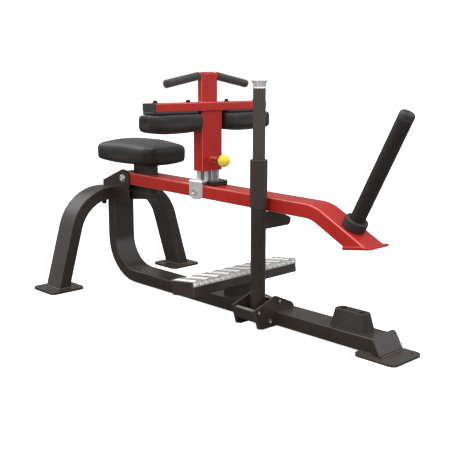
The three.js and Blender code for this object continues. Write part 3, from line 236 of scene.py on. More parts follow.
def gloss_paint(name, base, deep, edge, axis="Y"):
    """Glossy baked paint: deeper specks, a little orange peel, edges paler where worn and with a
    painted highlight, and a painted highlight along the rounded corners.
    """
    k = Look(name)
    tone = k.tones(k.noise(5.0, rough=0.5), deep, base)
    specks = k.span(k.noise(260.0, detail=2.0), (0.62, 0.8), to=(0.0, 0.12))
    tone = k.over(tone, specks, deep)
    patchy = k.span(k.noise(45.0, detail=4.0), (0.3, 0.6), to=(0.4, 1.0))
    # Paler edges: partly worn paint and partly a painted highlight.
    tone = k.over(tone, k.times(k.times(k.edges(0.0022), patchy), 0.5), edge)
    # A painted highlight line along the rounded corners.
    line = k.times(k.corners(axis), k.span(k.noise(9.0), MOST, to=(0.45, 0.8)))
    tone = k.over(tone, line, edge)
    k.set(Base_Color=tone, Metallic=0.0, Specular_IOR_Level=0.26)
    k.set(Roughness=k.span(k.noise(90.0), MOST, to=(0.27, 0.35)))
    k.bump(k.noise(300.0, detail=1.0), strength=0.08, depth=0.0004)
    return k.mat


def plated(name, base, dark, roughness, brushed=0.0, metal=1.0, drawn_and_reflected=0.0):
    """Plated metal: faint smears, fine pits, and dark streaks along Z, partly drawing marks and
    partly a painted reflection of the surroundings.
    """
    k = Look(name)
    smear = k.noise(28.0, detail=4.0, rough=0.6, distortion=0.6)
    smeared = (0.3, 0.75)
    tone = k.tones(smear, dark, base, fade=smeared)
    if drawn_and_reflected:
        # Dark streaks along Z: partly drawing marks and partly a painted reflection.
        streak = k.noise(110.0, detail=2.0, rough=0.5, at=k.stretched((1.0, 1.0, 0.03)))
        tone = k.over(tone, k.span(streak, (0.42, 0.56), to=(drawn_and_reflected, 0.0)), (84, 80, 76))
    k.set(Base_Color=tone, Metallic=metal)
    k.set(Roughness=k.span(smear, smeared, to=(roughness + 0.05, roughness)))
    k.bump(k.noise(700.0, detail=2.0), strength=0.03 + brushed, depth=0.0002)
    k.bump(k.noise(30.0, detail=1.0), strength=0.05, depth=0.0006)
    return k.mat


def horn_steel():
    """Black coat on the horn, rubbed in long streaks and rings by the plates that slide on it."""
    k = Look("horn_black_steel")
    lean = (0, -HORN_LEAN, 0)
    streak = k.noise(60.0, detail=4.0, rough=0.6, at=k.stretched((3.5, 3.5, 0.22), lean))
    ring = k.noise(40.0, detail=4.0, rough=0.6, at=k.stretched((0.12, 0.12, 6.0), lean))
    tone = k.tones(streak, (22, 18, 16), (40, 34, 31), fade=(0.35, 0.75))
    rubbed = k.times(k.span(ring, (0.55, 0.72)), k.span(streak, (0.5, 0.7)))
    tone = k.over(tone, k.times(rubbed, 0.4), (92, 86, 80))
    k.set(Base_Color=tone, Metallic=0.0, Specular_IOR_Level=0.4)
    k.set(Roughness=k.span(streak, MOST, to=(0.5, 0.38)))
    k.bump(streak, strength=0.12, depth=0.0003)
    k.bump(ring, strength=0.1, depth=0.0003)
    return k.mat


def moulded_rubber(name, low, high, roughness=0.62):
    """Moulded rubber: slightly mottled, with a fine skin, a paler tone on faces that look up, and
    paler edges, partly rubbed and partly a painted highlight.
    """
    k = Look(name)
    broad = k.noise(22.0, detail=4.0, rough=0.6)
    tone = k.tones(broad, low, high)
    # Paler on faces that look up.
    upward = k.span(k.facing("Z"), (0.3, 1.0))
    paler_top = k.times(upward, k.span(broad, (0.4, 0.7), to=(0.15, 0.5)))
    tone = k.over(tone, paler_top, shifted(high, 26))
    # Paler edges: partly rubbed and partly a painted highlight.
    rubbed = k.times(k.edges(0.0035), k.span(broad, MOST, to=(0.35, 0.8)))
    tone = k.over(tone, rubbed, shifted(high, 74))
    k.set(Base_Color=tone, Specular_IOR_Level=SPECULAR)
    k.set(Roughness=k.span(k.noise(120.0), MOST, to=(roughness - 0.08, roughness + 0.08)))
    k.bump(k.noise(620.0), strength=0.25, depth=0.0005)
    k.bump(broad, strength=0.12, depth=0.001)
    return k.mat


def moulded_plastic(name, low, high, roughness=0.42):
    """Moulded plastic with the fine spark-eroded grain of its mould."""
    k = Look(name)
    tone = k.tones(k.noise(30.0), low, high)
    # Paler edges: partly worn and partly a painted highlight.
    tone = k.over(tone, k.times(k.edges(0.0012), 0.4), shifted(high, 30))
    k.set(Base_Color=tone, Specular_IOR_Level=SPECULAR)
    grain = k.noise(200.0, detail=2.0)
    k.set(Roughness=k.span(grain, MOST, to=(roughness - 0.05, roughness + 0.07)))
    k.bump(k.cells(1100.0), strength=0.2, depth=0.0002)
    return k.mat


def leatherette(name, low, high):
    """Black synthetic leather: pebbled grain with fine creases, a paler top that is partly dust
    and partly a painted sheen, and a soft shine.
    """
    k = Look(name)
    broad = k.noise(9.0, detail=4.0)
    tone = k.tones(broad, low, high)
    grain = k.cells(620.0, "SMOOTH_F1")
    creases = k.cells(300.0, "DISTANCE_TO_EDGE", at=k.stretched((1, 1.25, 1.1)))
    tone = k.over(tone, k.span(creases, (0.0, 0.1), to=(0.25, 0.0)), shifted(low, -14))
    # Paler top: partly dust and partly a painted sheen.
    upward = k.span(k.facing("Z"), (0.55, 0.98))
    tone = k.over(tone, k.times(upward, k.span(broad, MOST, to=(0.3, 0.42))), (104, 105, 107))
    k.set(Base_Color=tone, Specular_IOR_Level=0.42, Coat_Weight=0.1, Coat_Roughness=0.26)
    k.set(Roughness=k.span(broad, MOST, to=(0.4, 0.48)))
    k.bump(k.span(creases, (0.0, 0.25)), strength=0.14, depth=0.0004)
    k.bump(grain, strength=0.12, depth=0.0003)
    k.bump(k.noise(16.0, detail=2.0), strength=0.2, depth=0.0025)
    return k.mat


def foam_rubber():
    """Closed-cell foam grip: matt, pored and a little uneven."""
    k = Look("grip_foam")
    pores = k.cells(900.0)
    tone = k.tones(k.noise(50.0, detail=4.0, rough=0.7), (46, 45, 43), (62, 61, 58))
    tone = k.over(tone, k.span(pores, (0.0, 0.3), to=(0.6, 0.0)), (24, 24, 22))
    k.set(Base_Color=tone, Specular_IOR_Level=0.3, Roughness=0.8)
    k.set(Sheen_Weight=0.25, Sheen_Roughness=0.5)
    k.bump(pores, strength=0.5, depth=0.0006)
    k.bump(k.noise(140.0), strength=0.35, depth=0.0012)
    return k.mat


def tread_metal(name, low, high, metal, grimy):
    """Rolled aluminium, with more or less grime in patches."""
    k = Look(name)
    rolled = k.noise(90.0, detail=4.0, rough=0.6, at=k.stretched((6.0, 0.5, 1.0)))
    tone = k.tones(rolled, low, high)
    grime = k.span(k.noise(45.0, detail=5.0, rough=0.7), (0.48, 0.7), to=(0.0, grimy))
    tone = k.over(tone, grime, (70, 64, 58))
    k.set(Base_Color=tone, Metallic=metal)
    k.set(Roughness=k.span(rolled, MOST, to=(0.3, 0.44)))
    k.bump(rolled, strength=0.1, depth=0.0003)
    k.bump(k.noise(420.0), strength=0.2, depth=0.0004)
    return k.mat


def gloss_plastic():
    """Glossy phenolic ball, with a faint swirl in its colour."""
    k = Look("knob_yellow")
    swirl = k.noise(34.0, detail=2.0, rough=0.4, distortion=0.4)
    tone = k.tones(swirl, (246, 224, 46), (250, 232, 66))
    k.set(Base_Color=tone, Specular_IOR_Level=0.5, Coat_Weight=0.5, Coat_Roughness=0.08)
    k.set(Roughness=k.span(k.noise(160.0, detail=2.0), MOST, to=(0.24, 0.32)))
    k.bump(k.noise(240.0, detail=2.0), strength=0.06, depth=0.0003)
    return k.mat


# Low tone, high tone, and the paler tone of worn edges and of painted edge and corner highlights.
COAT_TONES = ((39, 31, 26), (49, 41, 35), (112, 104, 95))
RED_TONES = ((185, 44, 35), (168, 35, 28), (244, 140, 138))
DARK = powder_coat("dark_powder_coat", *COAT_TONES, axis="Y")
DARK_ROUND = powder_coat("dark_coat_round", *COAT_TONES)
DARK_ACROSS = powder_coat("dark_coat_across", *COAT_TONES, axis="X")
# Lighter copies of the dark coat, painted light on the handle tube, sleeve, end plate and foot
# plate.
DARK_LIT = powder_coat("handle_tube_coat_painted_light", (62, 55, 50), (70, 64, 58), (100, 94, 88), 0.4)
DARK_SLEEVE_LIT = powder_coat("sleeve_coat_painted_light", (48, 40, 36), (56, 49, 44), (104, 98, 92), 0.36)
PLATE_LIT = powder_coat("plate_coat_painted_light", (56, 50, 44), (68, 61, 55), (98, 91, 85), 0.4)
# A lighter copy of the coat for the welds: a painted highlight on the beads.
WELD_LIT = powder_coat("weld_coat_painted_highlight", (62, 54, 48), (80, 72, 65), (126, 118, 110), 0.26)
RED = gloss_paint("red_gloss_paint", *RED_TONES)
RED_ACROSS = gloss_paint("red_gloss_paint_across", *RED_TONES, axis="Z")
CHROME = plated("chrome_plate", (248, 247, 245), (234, 232, 229), 0.14, metal=0.62)
DRAWN_AND_REFLECTED = plated("chrome_drawn_and_painted_reflection", (246, 245, 243), (226, 224, 220), 0.18, metal=0.6, drawn_and_reflected=0.85)
BRIGHT_BOLT = plated("bright_bolt", (240, 239, 236), (206, 204, 200), 0.2, metal=0.88)
ZINC = plated("zinc_plate", (150, 148, 140), (104, 101, 95), 0.34, brushed=0.1)
BLACK_STEEL = plated("black_oxide", (62, 58, 54), (40, 36, 33), 0.36, brushed=0.1)
HORN = horn_steel()
RUBBER = moulded_rubber("moulded_rubber", (34, 30, 27), (46, 42, 38))
COLLAR = moulded_rubber("collar_rubber", (34, 32, 29), (44, 42, 38), 0.5)
BUMPER = moulded_rubber("bumper_rubber", (28, 26, 24), (38, 35, 32), 0.24)
PLASTIC = moulded_plastic("moulded_plastic", (40, 37, 35), (54, 51, 48))
LEATHER = leatherette("black_leatherette", (22, 16, 12), (33, 26, 21))
FOAM = foam_rubber()
# The bars' near-white copy is a painted highlight; the base and dull copies are the plain metal
# with grime.
TREAD_PAINTED_HIGHLIGHT = tread_metal("tread_painted_highlight", (244, 243, 241), (254, 254, 253), 0.3, 0.08)
TREAD_BASE = tread_metal("tread_base", (168, 164, 158), (198, 194, 189), 0.45, 0.42)
TREAD_DULL = tread_metal("tread_dull", (170, 166, 160), (204, 200, 195), 0.5, 0.35)
YELLOW = gloss_plastic()

SLOT_LOOKS = {
    "red_paint": RED, "dark_paint": DARK, "chrome": CHROME, "zinc": ZINC,
    "black_steel": BLACK_STEEL, "rubber": RUBBER, "plastic": PLASTIC, "leather": LEATHER,
    "foam": FOAM, "checker_plate": TREAD_PAINTED_HIGHLIGHT, "yellow_plastic": YELLOW,
}
NODE_LOOKS = {
    "cross_bar": RED_ACROSS, "rear_leg_right": DARK_ACROSS, "rear_leg_left": DARK_ACROSS,
    "step_tube": DARK_ACROSS, "inner_post": DRAWN_AND_REFLECTED, "step_tread": TREAD_BASE,
    "catch_tube": DARK_ROUND, "catch_handle": DARK_LIT, "catch_sleeve": DARK_SLEEVE_LIT,
    "front_end_plate": DARK_SLEEVE_LIT, "front_foot": PLATE_LIT, "weight_horn": HORN,
    "horn_collar": COLLAR, "knee_bumper": BUMPER,
}
record = frame["record"]
slot_of = {part["node"]: part["material_slot"] for part in record["subparts"]}
body_of = {node: body for body, held in record["behaviour"]["bodies"].items() for node in held}


def look_of(node):
    return NODE_LOOKS.get(node, SLOT_LOOKS[slot_of[node]])


for node, solid in nodes.items():
    for slot in solid.material_slots:
        slot.material = look_of(node)

# ------ pieces
SAME_POINT = 2e-5  # points nearer than this are one
FLAT_WITHIN = math.radians(0.6)  # faces that turn less than this are one
EASED_FROM = math.radians(38)  # edges that turn more than this are eased
WIDE_EASE = 0.003  # an edge eased this much or more gets more segments


def new_piece(name, mesh, body, material):
    piece = bpy.data.objects.new(name, mesh)
    scene.collection.objects.link(piece)
    mesh.materials.clear()
    mesh.materials.append(material)
    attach(piece, body)
    return piece


def new_skin(name, verts, faces):
    """A mesh of points and faces, shaded smooth."""
    mesh = bpy.data.meshes.new(name)
    mesh.from_pydata([tuple(v) for v in verts], [], faces)
    mesh.shade_smooth()
    return mesh


def joined(shapes):
    """Several shapes, each of points and faces, as one."""
    verts, faces = [], []
    for more, their_faces in shapes:
        base = len(verts)
        verts.extend(more)
        faces.extend(tuple(base + i for i in face) for face in their_faces)
    return verts, faces


def ring_faces(rings, around):
    """The faces between rings of points, each ring with as many points."""
    faces = []
    for r in range(rings - 1):
        for i in range(around):
            j = (i + 1) % around
            here, above = r * around, (r + 1) * around
            faces.append((here + i, here + j, above + j, above + i))
    return faces


def node_form(node):
    """A node's mesh, its triangles joined at their points."""
    bm = bmesh.new()
    bm.from_mesh(nodes[node].data)
    bmesh.ops.remove_doubles(bm, verts=bm.verts, dist=SAME_POINT)
    return bm


def settle(piece):
    """Applies a piece's modifiers to its mesh."""
    deps = bpy.context.evaluated_depsgraph_get()
    mesh = bpy.data.meshes.new_from_object(piece.evaluated_get(deps))
    old = piece.data
    piece.modifiers.clear()
    piece.data = mesh
    bpy.data.meshes.remove(old)


def eased(node, width):
    """Stands for a rigid node: the same form with its edges eased and its bends shaded smooth."""
    bm = node_form(node)
    bmesh.ops.dissolve_limit(bm, angle_limit=FLAT_WITHIN, verts=bm.verts, edges=bm.edges)
    mesh = bpy.data.meshes.new(node + "_eased")
    bm.to_mesh(mesh)
    bm.free()
    mesh.shade_smooth()
    piece = new_piece(node + "_eased", mesh, body_of[node], look_of(node))
    bevel = piece.modifiers.new("ease", "BEVEL")
    bevel.width = width
    bevel.segments = 2 if width < WIDE_EASE else 5
    bevel.limit_method = "ANGLE"
    bevel.angle_limit = EASED_FROM
    bevel.use_clamp_overlap = True
    bevel.miter_outer = "MITER_ARC"
    flat = piece.modifiers.new("flats", "WEIGHTED_NORMAL")
    flat.weight = 100
    settle(piece)
    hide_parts(node)


EASES = {
    "main_frame": 0.0008, "front_end_plate": 0.0014, "front_foot": 0.0022,
    "rear_foot_right": 0.0022, "rear_foot_left": 0.0022, "rear_leg_right": 0.0008,
    "rear_leg_left": 0.0008, "hinge_plate_right": 0.0012, "hinge_plate_left": 0.0012,
    "seat_support": 0.0012, "seat_post": 0.0006, "step_tube": 0.0006, "step_cap_right": 0.001,
    "step_cap_left": 0.001, "step_post": 0.0006, "bump_stop": 0.0035,
    "catch_plate_front": 0.0012, "catch_plate_rear": 0.0012, "catch_web": 0.0008,
    "lever_arm": 0.0007, "lever_end_plate": 0.0014, "horn_collar": 0.0022,
    "weight_horn": 0.0006, "horn_cap": 0.0032, "knee_bumper": 0.006, "pivot_bracket": 0.0012,
    "inner_post": 0.0006, "outer_post": 0.0006, "cross_bar": 0.0006, "bar_cap_right": 0.0008,
    "bar_cap_left": 0.0008, "handle_mast": 0.0007, "grip_right": 0.007, "grip_left": 0.007,
    "catch_tube": 0.0006, "catch_sleeve": 0.0007, "catch_handle": 0.0005, "catch_cap": 0.0022,
    "catch_arm": 0.0012,
}
for node, width in EASES.items():
    eased(node, width)

# ------ soft goods
PAD_VOXEL = 0.005
PAD_CLOTH = {
    "quality": 5, "mass": 0.25, "tension_stiffness": 30, "compression_stiffness": 30,
    "shear_stiffness": 16, "bending_stiffness": 12, "use_pressure": True,
    "uniform_pressure_force": 4.0, "vertex_group_mass": "back",
}
PAD_FRAMES = 20
PAD_HELD = 0.004  # points this near the flat back stay put
PAD_CAP = 0.008  # how far the cloth may move a point
PAD_ROOM = 0.004  # how far a blown pad may pass its node's box
PAD_PROUD = 0.003  # how far a finished pad's sides stand out from its node's box
BACK_GAP = 0.0004
WRINKLES = 0.12  # share of the cloth's own unevenness that stays
SPREAD_ROUNDS = 60
SQUARED, SQUARED_DEPTH = 0.055, 0.005  # how much wider the back gets, and how soon that fades


def points_of(mesh):
    co = np.zeros(len(mesh.vertices) * 3)
    mesh.vertices.foreach_get("co", co)
    return co.reshape(-1, 3)


def put_points(mesh, co):
    mesh.vertices.foreach_set("co", np.asarray(co, float).ravel())
    mesh.update()


def remeshed(node, name):
    """A new object in a node's form, with an even mesh."""
    bm = node_form(node)
    mesh = bpy.data.meshes.new(name)
    bm.to_mesh(mesh)
    bm.free()
    piece = bpy.data.objects.new(name, mesh)
    scene.collection.objects.link(piece)
    rebuild = piece.modifiers.new("even", "REMESH")
    rebuild.mode = "VOXEL"
    rebuild.voxel_size = PAD_VOXEL
    settle(piece)
    return piece


def spread(mesh, values):
    """Each point's value drawn towards its neighbours' mean, again and again."""
    ends = np.zeros(len(mesh.edges) * 2, int)
    mesh.edges.foreach_get("vertices", ends)
    a, b = ends.reshape(-1, 2).T
    count = np.bincount(ends, minlength=len(values))[:, None]
    for _ in range(SPREAD_ROUNDS):
        total = np.zeros_like(values)
        np.add.at(total, a, values[b])
        np.add.at(total, b, values[a])
        values = 0.4 * values + 0.6 * total / count
    return values


def blown_up(piece, start, back):
    """A pad's points after a cloth simulation with pressure inside, its flat back held."""
    group = piece.vertex_groups.new(name="back")
    for i in np.nonzero(np.abs(start[:, 2] - back) < PAD_HELD)[0]:
        group.add([int(i)], 1.0, "REPLACE")
    cloth = piece.modifiers.new("stuffed", "CLOTH")
    for key, value in PAD_CLOTH.items():
        setattr(cloth.settings, key, value)
    cloth.settings.effector_weights.gravity = 0
    cloth.collision_settings.use_collision = False
    cloth.collision_settings.use_self_collision = False
    cloth.point_cache.frame_start = 1
    cloth.point_cache.frame_end = PAD_FRAMES
    for f in range(1, PAD_FRAMES + 1):
        scene.frame_set(f)
    deps = bpy.context.evaluated_depsgraph_get()
    grown = bpy.data.meshes.new_from_object(piece.evaluated_get(deps))
    step = points_of(grown) - start
    bpy.data.meshes.remove(grown)
    piece.modifiers.clear()
    piece.vertex_groups.clear()
    scene.frame_set(1)
    size = np.linalg.norm(step, axis=1, keepdims=True)
    step *= np.minimum(1, PAD_CAP / np.maximum(size, 1e-9))
    return start + (1 - WRINKLES) * spread(piece.data, step) + WRINKLES * step


def filled_out(mesh, low, high, rest_high, rise, taper):
    """Stretches a smoothed pad back to its node's outline, a little proud of it, squares it where
    its flat back meets its sides, and thins it towards its corners."""
    co = points_of(mesh)
    middle = (np.array(low) + np.array(high)) / 2
    for axis in (0, 1):
        first, last = co[:, axis].min(), co[:, axis].max()
        share = (co[:, axis] - first) / (last - first)
        co[:, axis] = low[axis] - PAD_PROUD + share * (high[axis] - low[axis] + 2 * PAD_PROUD)
    back, crown = (high.z, low.z - rise) if rest_high else (low.z, high.z + rise)
    far = co[:, 2].min() if rest_high else co[:, 2].max()
    near = co[:, 2].max() if rest_high else co[:, 2].min()
    co[:, 2] = back + (co[:, 2] - near) * (crown - back) / (far - near)
    at_back = np.exp(-np.abs(co[:, 2] - back) / SQUARED_DEPTH)[:, None]
    co[:, :2] = middle[:2] + (co[:, :2] - middle[:2]) * (1 + SQUARED * at_back)
    co[:, :2] = np.clip(co[:, :2], np.array(low)[:2] - PAD_PROUD, np.array(high)[:2] + PAD_PROUD)
    half = np.array([high.x - low.x, high.y - low.y]) / 2 + PAD_PROUD
    corner = np.prod(np.abs(co[:, :2] - middle[:2]) / half, axis=1) ** 2
    level = (back + crown) / 2
    co[:, 2] = level + (co[:, 2] - level) * (1 - taper * corner)
    put_points(mesh, co)


def padded_piece(node, name, rest_high, rise, taper):
    """A stuffed pad in the space of its node: remeshed, blown up against its flat back, smoothed
    and filled out. rest_high says whether the flat back is the piece's top or its underside,
    rise how far the other side stands out from the node's, and taper how much the corners thin."""
    low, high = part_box(node)
    back = high.z if rest_high else low.z
    piece = remeshed(node, name)
    points = points_of(piece.data)
    points = blown_up(piece, points, back)
    points = np.clip(points, np.array(low) - PAD_ROOM, np.array(high) + PAD_ROOM)
    if rest_high:
        points[:, 2] = np.minimum(points[:, 2], back - BACK_GAP)
    else:
        points[:, 2] = np.maximum(points[:, 2], back + BACK_GAP)
    put_points(piece.data, points)
    relax = piece.modifiers.new("relax", "SMOOTH")
    relax.factor = 0.5
    relax.iterations = 4
    finer = piece.modifiers.new("finer", "SUBSURF")
    finer.levels = finer.render_levels = 1
    settle(piece)
    filled_out(piece.data, low, high, rest_high, rise, taper)
    piece.data.shade_smooth()
    piece.data.materials.clear()
    piece.data.materials.append(LEATHER)
    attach(piece, body_of[node])
    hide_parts(node)


padded_piece("seat_cushion", "seat_pad", rest_high=False, rise=0.0095, taper=0.3)
padded_piece("knee_pad_right", "knee_roll_right", rest_high=True, rise=0.001, taper=0.12)
padded_piece("knee_pad_left", "knee_roll_left", rest_high=True, rise=0.001, taper=0.12)

BOARD_INSET, BOARD_CORNER, BOARD_EASE = 0.0015, 0.03, 0.0028
CORNER_STEPS, EASE_STEPS = 8, 4
SIDE_ANGLE = math.radians(60)  # a board's edges that turn more than this are sharp


def wrapped_board(node, name):
    """A pad's board under its stretched cover: a slab with round corners and soft edges."""
    low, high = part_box(node)
    turns = [k / EASE_STEPS * math.pi / 2 for k in range(EASE_STEPS + 1)]
    rings = []
    for turn in turns:
        lift, back = 1 - math.cos(turn), 1 - math.sin(turn)
        rings.append((low.z + BOARD_EASE * lift, BOARD_INSET + BOARD_EASE * back))
    for turn in turns:
        lift, back = 1 - math.sin(turn), 1 - math.cos(turn)
        rings.append((high.z - BOARD_EASE * lift, BOARD_INSET + BOARD_EASE * back))
    verts = []
    for z, back in rings:
        for sx, sy, start in ((1, 1, 0), (-1, 1, 1), (-1, -1, 2), (1, -1, 3)):
            cx = (high.x if sx > 0 else low.x) - sx * (BOARD_CORNER + back)
            cy = (high.y if sy > 0 else low.y) - sy * (BOARD_CORNER + back)
            for i in range(CORNER_STEPS + 1):
                a = math.pi / 2 * (start + i / CORNER_STEPS)
                x, y = cx + BOARD_CORNER * math.cos(a), cy + BOARD_CORNER * math.sin(a)
                verts.append((x, y, z))
    around = 4 * (CORNER_STEPS + 1)
    faces = ring_faces(len(rings), around)
    faces.append(tuple(range(around))[::-1])
    faces.append(tuple((len(rings) - 1) * around + i for i in range(around)))
    mesh = new_skin(name, verts, faces)
    mesh.set_sharp_from_angle(angle=SIDE_ANGLE)
    piece = new_piece(name, mesh, body_of[node], LEATHER)
    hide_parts(node)


wrapped_board("pad_board_right", "board_cover_right")
wrapped_board("pad_board_left", "board_cover_left")

# ------ the step
TREAD_TILT = math.radians(7)
TREAD_COLUMNS, TREAD_ROWS = 20, 4
FIRST_ROW = 0.016  # from the tread's front edge to the middle of its first groups
ROW_PITCH = 1.03  # in cells, as are the three sizes of a group
BRIGHT_GROUP, DULL_GROUP, LIP_GROUP = 1.16, 0.74, 0.56
LIP_DOWN = 0.0103  # from the front edge down the lip to the middle of its groups
EDGE_DEPTH = 0.0005  # points this little below the tread's top are its front edge
BARS = 5
BAR_PITCH, BAR_LONG, BAR_SHORT, BAR_WIDE = 0.19, 0.8, 0.62, 0.14  # shares of a group's size
BAR_HIGH, BAR_GAP = 0.0011, 0.00002
BAR_RINGS = [(1.0, 0.0), (0.93, 0.45), (0.74, 0.82), (0.4, 1.0)]  # shares of its plan and height
BAR_STEPS = 10


def bar_shape(length, width):
    """A raised bar: a long lens with a rounded back, as rings of a flat ellipse."""
    verts = []
    for share, rise in BAR_RINGS:
        for i in range(BAR_STEPS):
            a = 2 * math.pi * i / BAR_STEPS
            x, y = share * length / 2 * math.cos(a), share * width / 2 * math.sin(a)
            verts.append((x, y, rise * BAR_HIGH))
    faces = ring_faces(len(BAR_RINGS), BAR_STEPS)
    faces.append(tuple(range((len(BAR_RINGS) - 1) * BAR_STEPS, len(BAR_RINGS) * BAR_STEPS)))
    return verts, faces


def bar_group(middle, u, v, normal, size, crossed):
    """Short raised bars side by side, the outer two shorter, along u, or along v if crossed."""
    shapes = []
    for k in range(BARS):
        offset = (k - BARS // 2) * size * BAR_PITCH
        length = size * (BAR_SHORT if k in (0, BARS - 1) else BAR_LONG)
        points, faces = bar_shape(length, size * BAR_WIDE)
        verts = []
        for x, y, z in points:
            x, y = (y + offset, x) if crossed else (x, y + offset)
            verts.append(middle + u * x + v * y + normal * (z + BAR_GAP))
        shapes.append((verts, faces))
    return joined(shapes)


def tread_pattern():
    """Groups of bars, crossed in every other column, on the tread's top and its lip. The crossed
    groups and the lip's are in the copy of the metal painted near white as a highlight.
    """
    low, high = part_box("step_tread")
    co = points_of(nodes["step_tread"].data)
    front = Vector((co[co[:, 2] > high.z - EDGE_DEPTH][:, 0].max(), 0, high.z))
    back = Vector((-math.cos(TREAD_TILT), 0, -math.sin(TREAD_TILT)))
    out = Vector((-math.sin(TREAD_TILT), 0, math.cos(TREAD_TILT)))
    along, down = Vector((0, 1, 0)), -out
    cell = (high.y - low.y) / TREAD_COLUMNS
    bright, dull = [], []
    u, v = (along + back).normalized(), (back - along).normalized()
    for i in range(TREAD_COLUMNS):
        y = low.y + cell * (i + 0.5)
        kind, size = (dull, DULL_GROUP) if i % 2 else (bright, BRIGHT_GROUP)
        for j in range(TREAD_ROWS):
            spot = front + back * (FIRST_ROW + j * cell * ROW_PITCH)
            spot.y = y
            kind.append(bar_group(spot, u, v, out, cell * size, i % 2 == 0))
    u, v = (along + down).normalized(), (down - along).normalized()
    for i in range(2 * TREAD_COLUMNS):
        spot = front + down * LIP_DOWN
        spot.y = low.y + cell / 2 * (i + 0.5)
        bright.append(bar_group(spot, u, v, -back, cell * LIP_GROUP, i % 2 == 0))
    for name, groups, look in ("tread_bars_painted_highlight", bright, TREAD_PAINTED_HIGHLIGHT), ("tread_bars_dull", dull, TREAD_DULL):
        new_piece(name, new_skin(name, *joined(groups)), "frame", look)


tread_pattern()
eased("step_tread", 0.0011)

# ------ welds
Z = Vector((0, 0, 1))
BEAD_STEP, BEAD_SIDES = 0.0014, 6
UPRIGHT = 0.9  # a bead whose run is this near to Z takes its sides from another axis
RIPPLE, RIPPLE_PITCH = 0.13, 0.0042
UNEVEN, UNEVEN_TURN = 0.05, 190
BEAD_END = 0.4  # share of its radius that an open bead's end keeps


def section(node, point, normal):
    """The longest closed outline where a plane cuts a node, as points in order."""
    bm = node_form(node)
    everything = bm.verts[:] + bm.edges[:] + bm.faces[:]
    found = bmesh.ops.bisect_plane(bm, geom=everything, plane_co=point, plane_no=normal)
    links = {}
    for cut in found["geom_cut"]:
        if isinstance(cut, bmesh.types.BMEdge):
            a, b = cut.verts
            links.setdefault(a, []).append(b)
            links.setdefault(b, []).append(a)
    loops, seen = [], set()
    for here in links:
        loop = []
        while here is not None and here not in seen:
            seen.add(here)
            loop.append(here.co.copy())
            here = next((v for v in links[here] if v not in seen), None)
        loops.append(loop)
    bm.free()

    def length(loop):
        return sum((loop[i] - loop[i - 1]).length for i in range(len(loop)))

    return max(loops, key=length)


def bead(points, radius, closed):
    """A weld bead along a line: overlapping ripples, a little uneven."""
    pts = [Vector(p) for p in points]
    if closed:
        pts.append(pts[0])
    spots = []
    for a, b in zip(pts, pts[1:]):
        count = max(1, round((b - a).length / BEAD_STEP))
        for i in range(count):
            spots.append(a.lerp(b, i / count))
    if not closed:
        spots.append(pts[-1])
    verts, count, travelled = [], len(spots), 0.0
    for i, p in enumerate(spots):
        before = spots[(i - 1) % count] if closed or i > 0 else p
        after = spots[(i + 1) % count] if closed or i < count - 1 else p
        along = (after - before).normalized()
        side = (along.orthogonal() if abs(along.z) > UPRIGHT else along.cross(Z)).normalized()
        lift = side.cross(along).normalized()
        travelled += (p - before).length if i else 0
        ripple = 1 + RIPPLE * math.sin(2 * math.pi * travelled / RIPPLE_PITCH)
        ripple += UNEVEN * math.sin(travelled * UNEVEN_TURN)
        if not closed and i in (0, count - 1):
            ripple *= BEAD_END
        for k in range(BEAD_SIDES):
            a = 2 * math.pi * k / BEAD_SIDES
            verts.append(p + (side * math.cos(a) + lift * math.sin(a)) * radius * ripple)
    faces = []
    for i in range(count if closed else count - 1):
        here, there = i * BEAD_SIDES, (i + 1) % count * BEAD_SIDES
        for k in range(BEAD_SIDES):
            m = (k + 1) % BEAD_SIDES
            faces.append((here + k, here + m, there + m, there + k))
    if not closed:
        faces.append(tuple(range(BEAD_SIDES))[::-1])
        faces.append(tuple((count - 1) * BEAD_SIDES + k for k in range(BEAD_SIDES)))
    return verts, faces


def welds(name, lines, body="frame", material=WELD_LIT):
    """One piece of several beads, each given as its points, its radius and whether it closes."""
    mesh = new_skin(name, *joined([bead(*line) for line in lines]))
    new_piece(name, mesh, body, material)


def weld_line(node, point, normal, move, radius):
    """The bead round a node where a plane cuts it, moved along the plane's normal."""
    return [p + normal * move for p in section(node, point, normal)], radius, True


FOOT_TOP = 0.0125
leg_lines = []
for hand in ("right", "left"):
    leg = weld_line("rear_leg_" + hand, (0, 0, FOOT_TOP), Z, move=-0.0014, radius=0.0033)
    leg_lines.append(leg)
welds("leg_welds", leg_lines)

END_PLATE_LEAN = math.radians(30)
BEAM_END = Vector((0.6885, 0, 0.0353))
off_plate = Vector((math.cos(END_PLATE_LEAN), 0, math.sin(END_PLATE_LEAN)))
cut = BEAM_END - off_plate * 0.0022
line = weld_line("main_frame", cut, off_plate, move=0.0012, radius=0.002)
welds("end_plate_weld", [line])

CUT_GAP = 0.002  # how far from a joint its node is cut
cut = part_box("step_post")[0].z + CUT_GAP
line = weld_line("step_post", (0, 0, cut), Z, move=-0.0012, radius=0.0022)
welds("step_post_weld", [line])

# Along the beam's two sides on the front foot, and along the end plate's foot.
BEAM_RUN, BEAM_SIDE, BEAM_FOOT, RUN_GAP, RUN_STEPS = 0.668, 0.0478, 0.0118, 0.003, 12
PLATE_FOOT, PLATE_HALF, PLATE_STEPS = (0.7075, 0.0112), 0.055, 16
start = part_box("front_foot")[0].x
foot_lines = []
for side in (-1, 1):
    run = []
    for i in range(RUN_STEPS + 1):
        x = start + RUN_GAP + (BEAM_RUN - start) * i / RUN_STEPS
        run.append((x, side * BEAM_SIDE, BEAM_FOOT))
    foot_lines.append((run, 0.0032, False))
run = []
for i in range(PLATE_STEPS + 1):
    run.append((PLATE_FOOT[0], -PLATE_HALF + 2 * PLATE_HALF * i / PLATE_STEPS, PLATE_FOOT[1]))
foot_lines.append((run, 0.003, False))
welds("foot_welds", foot_lines)

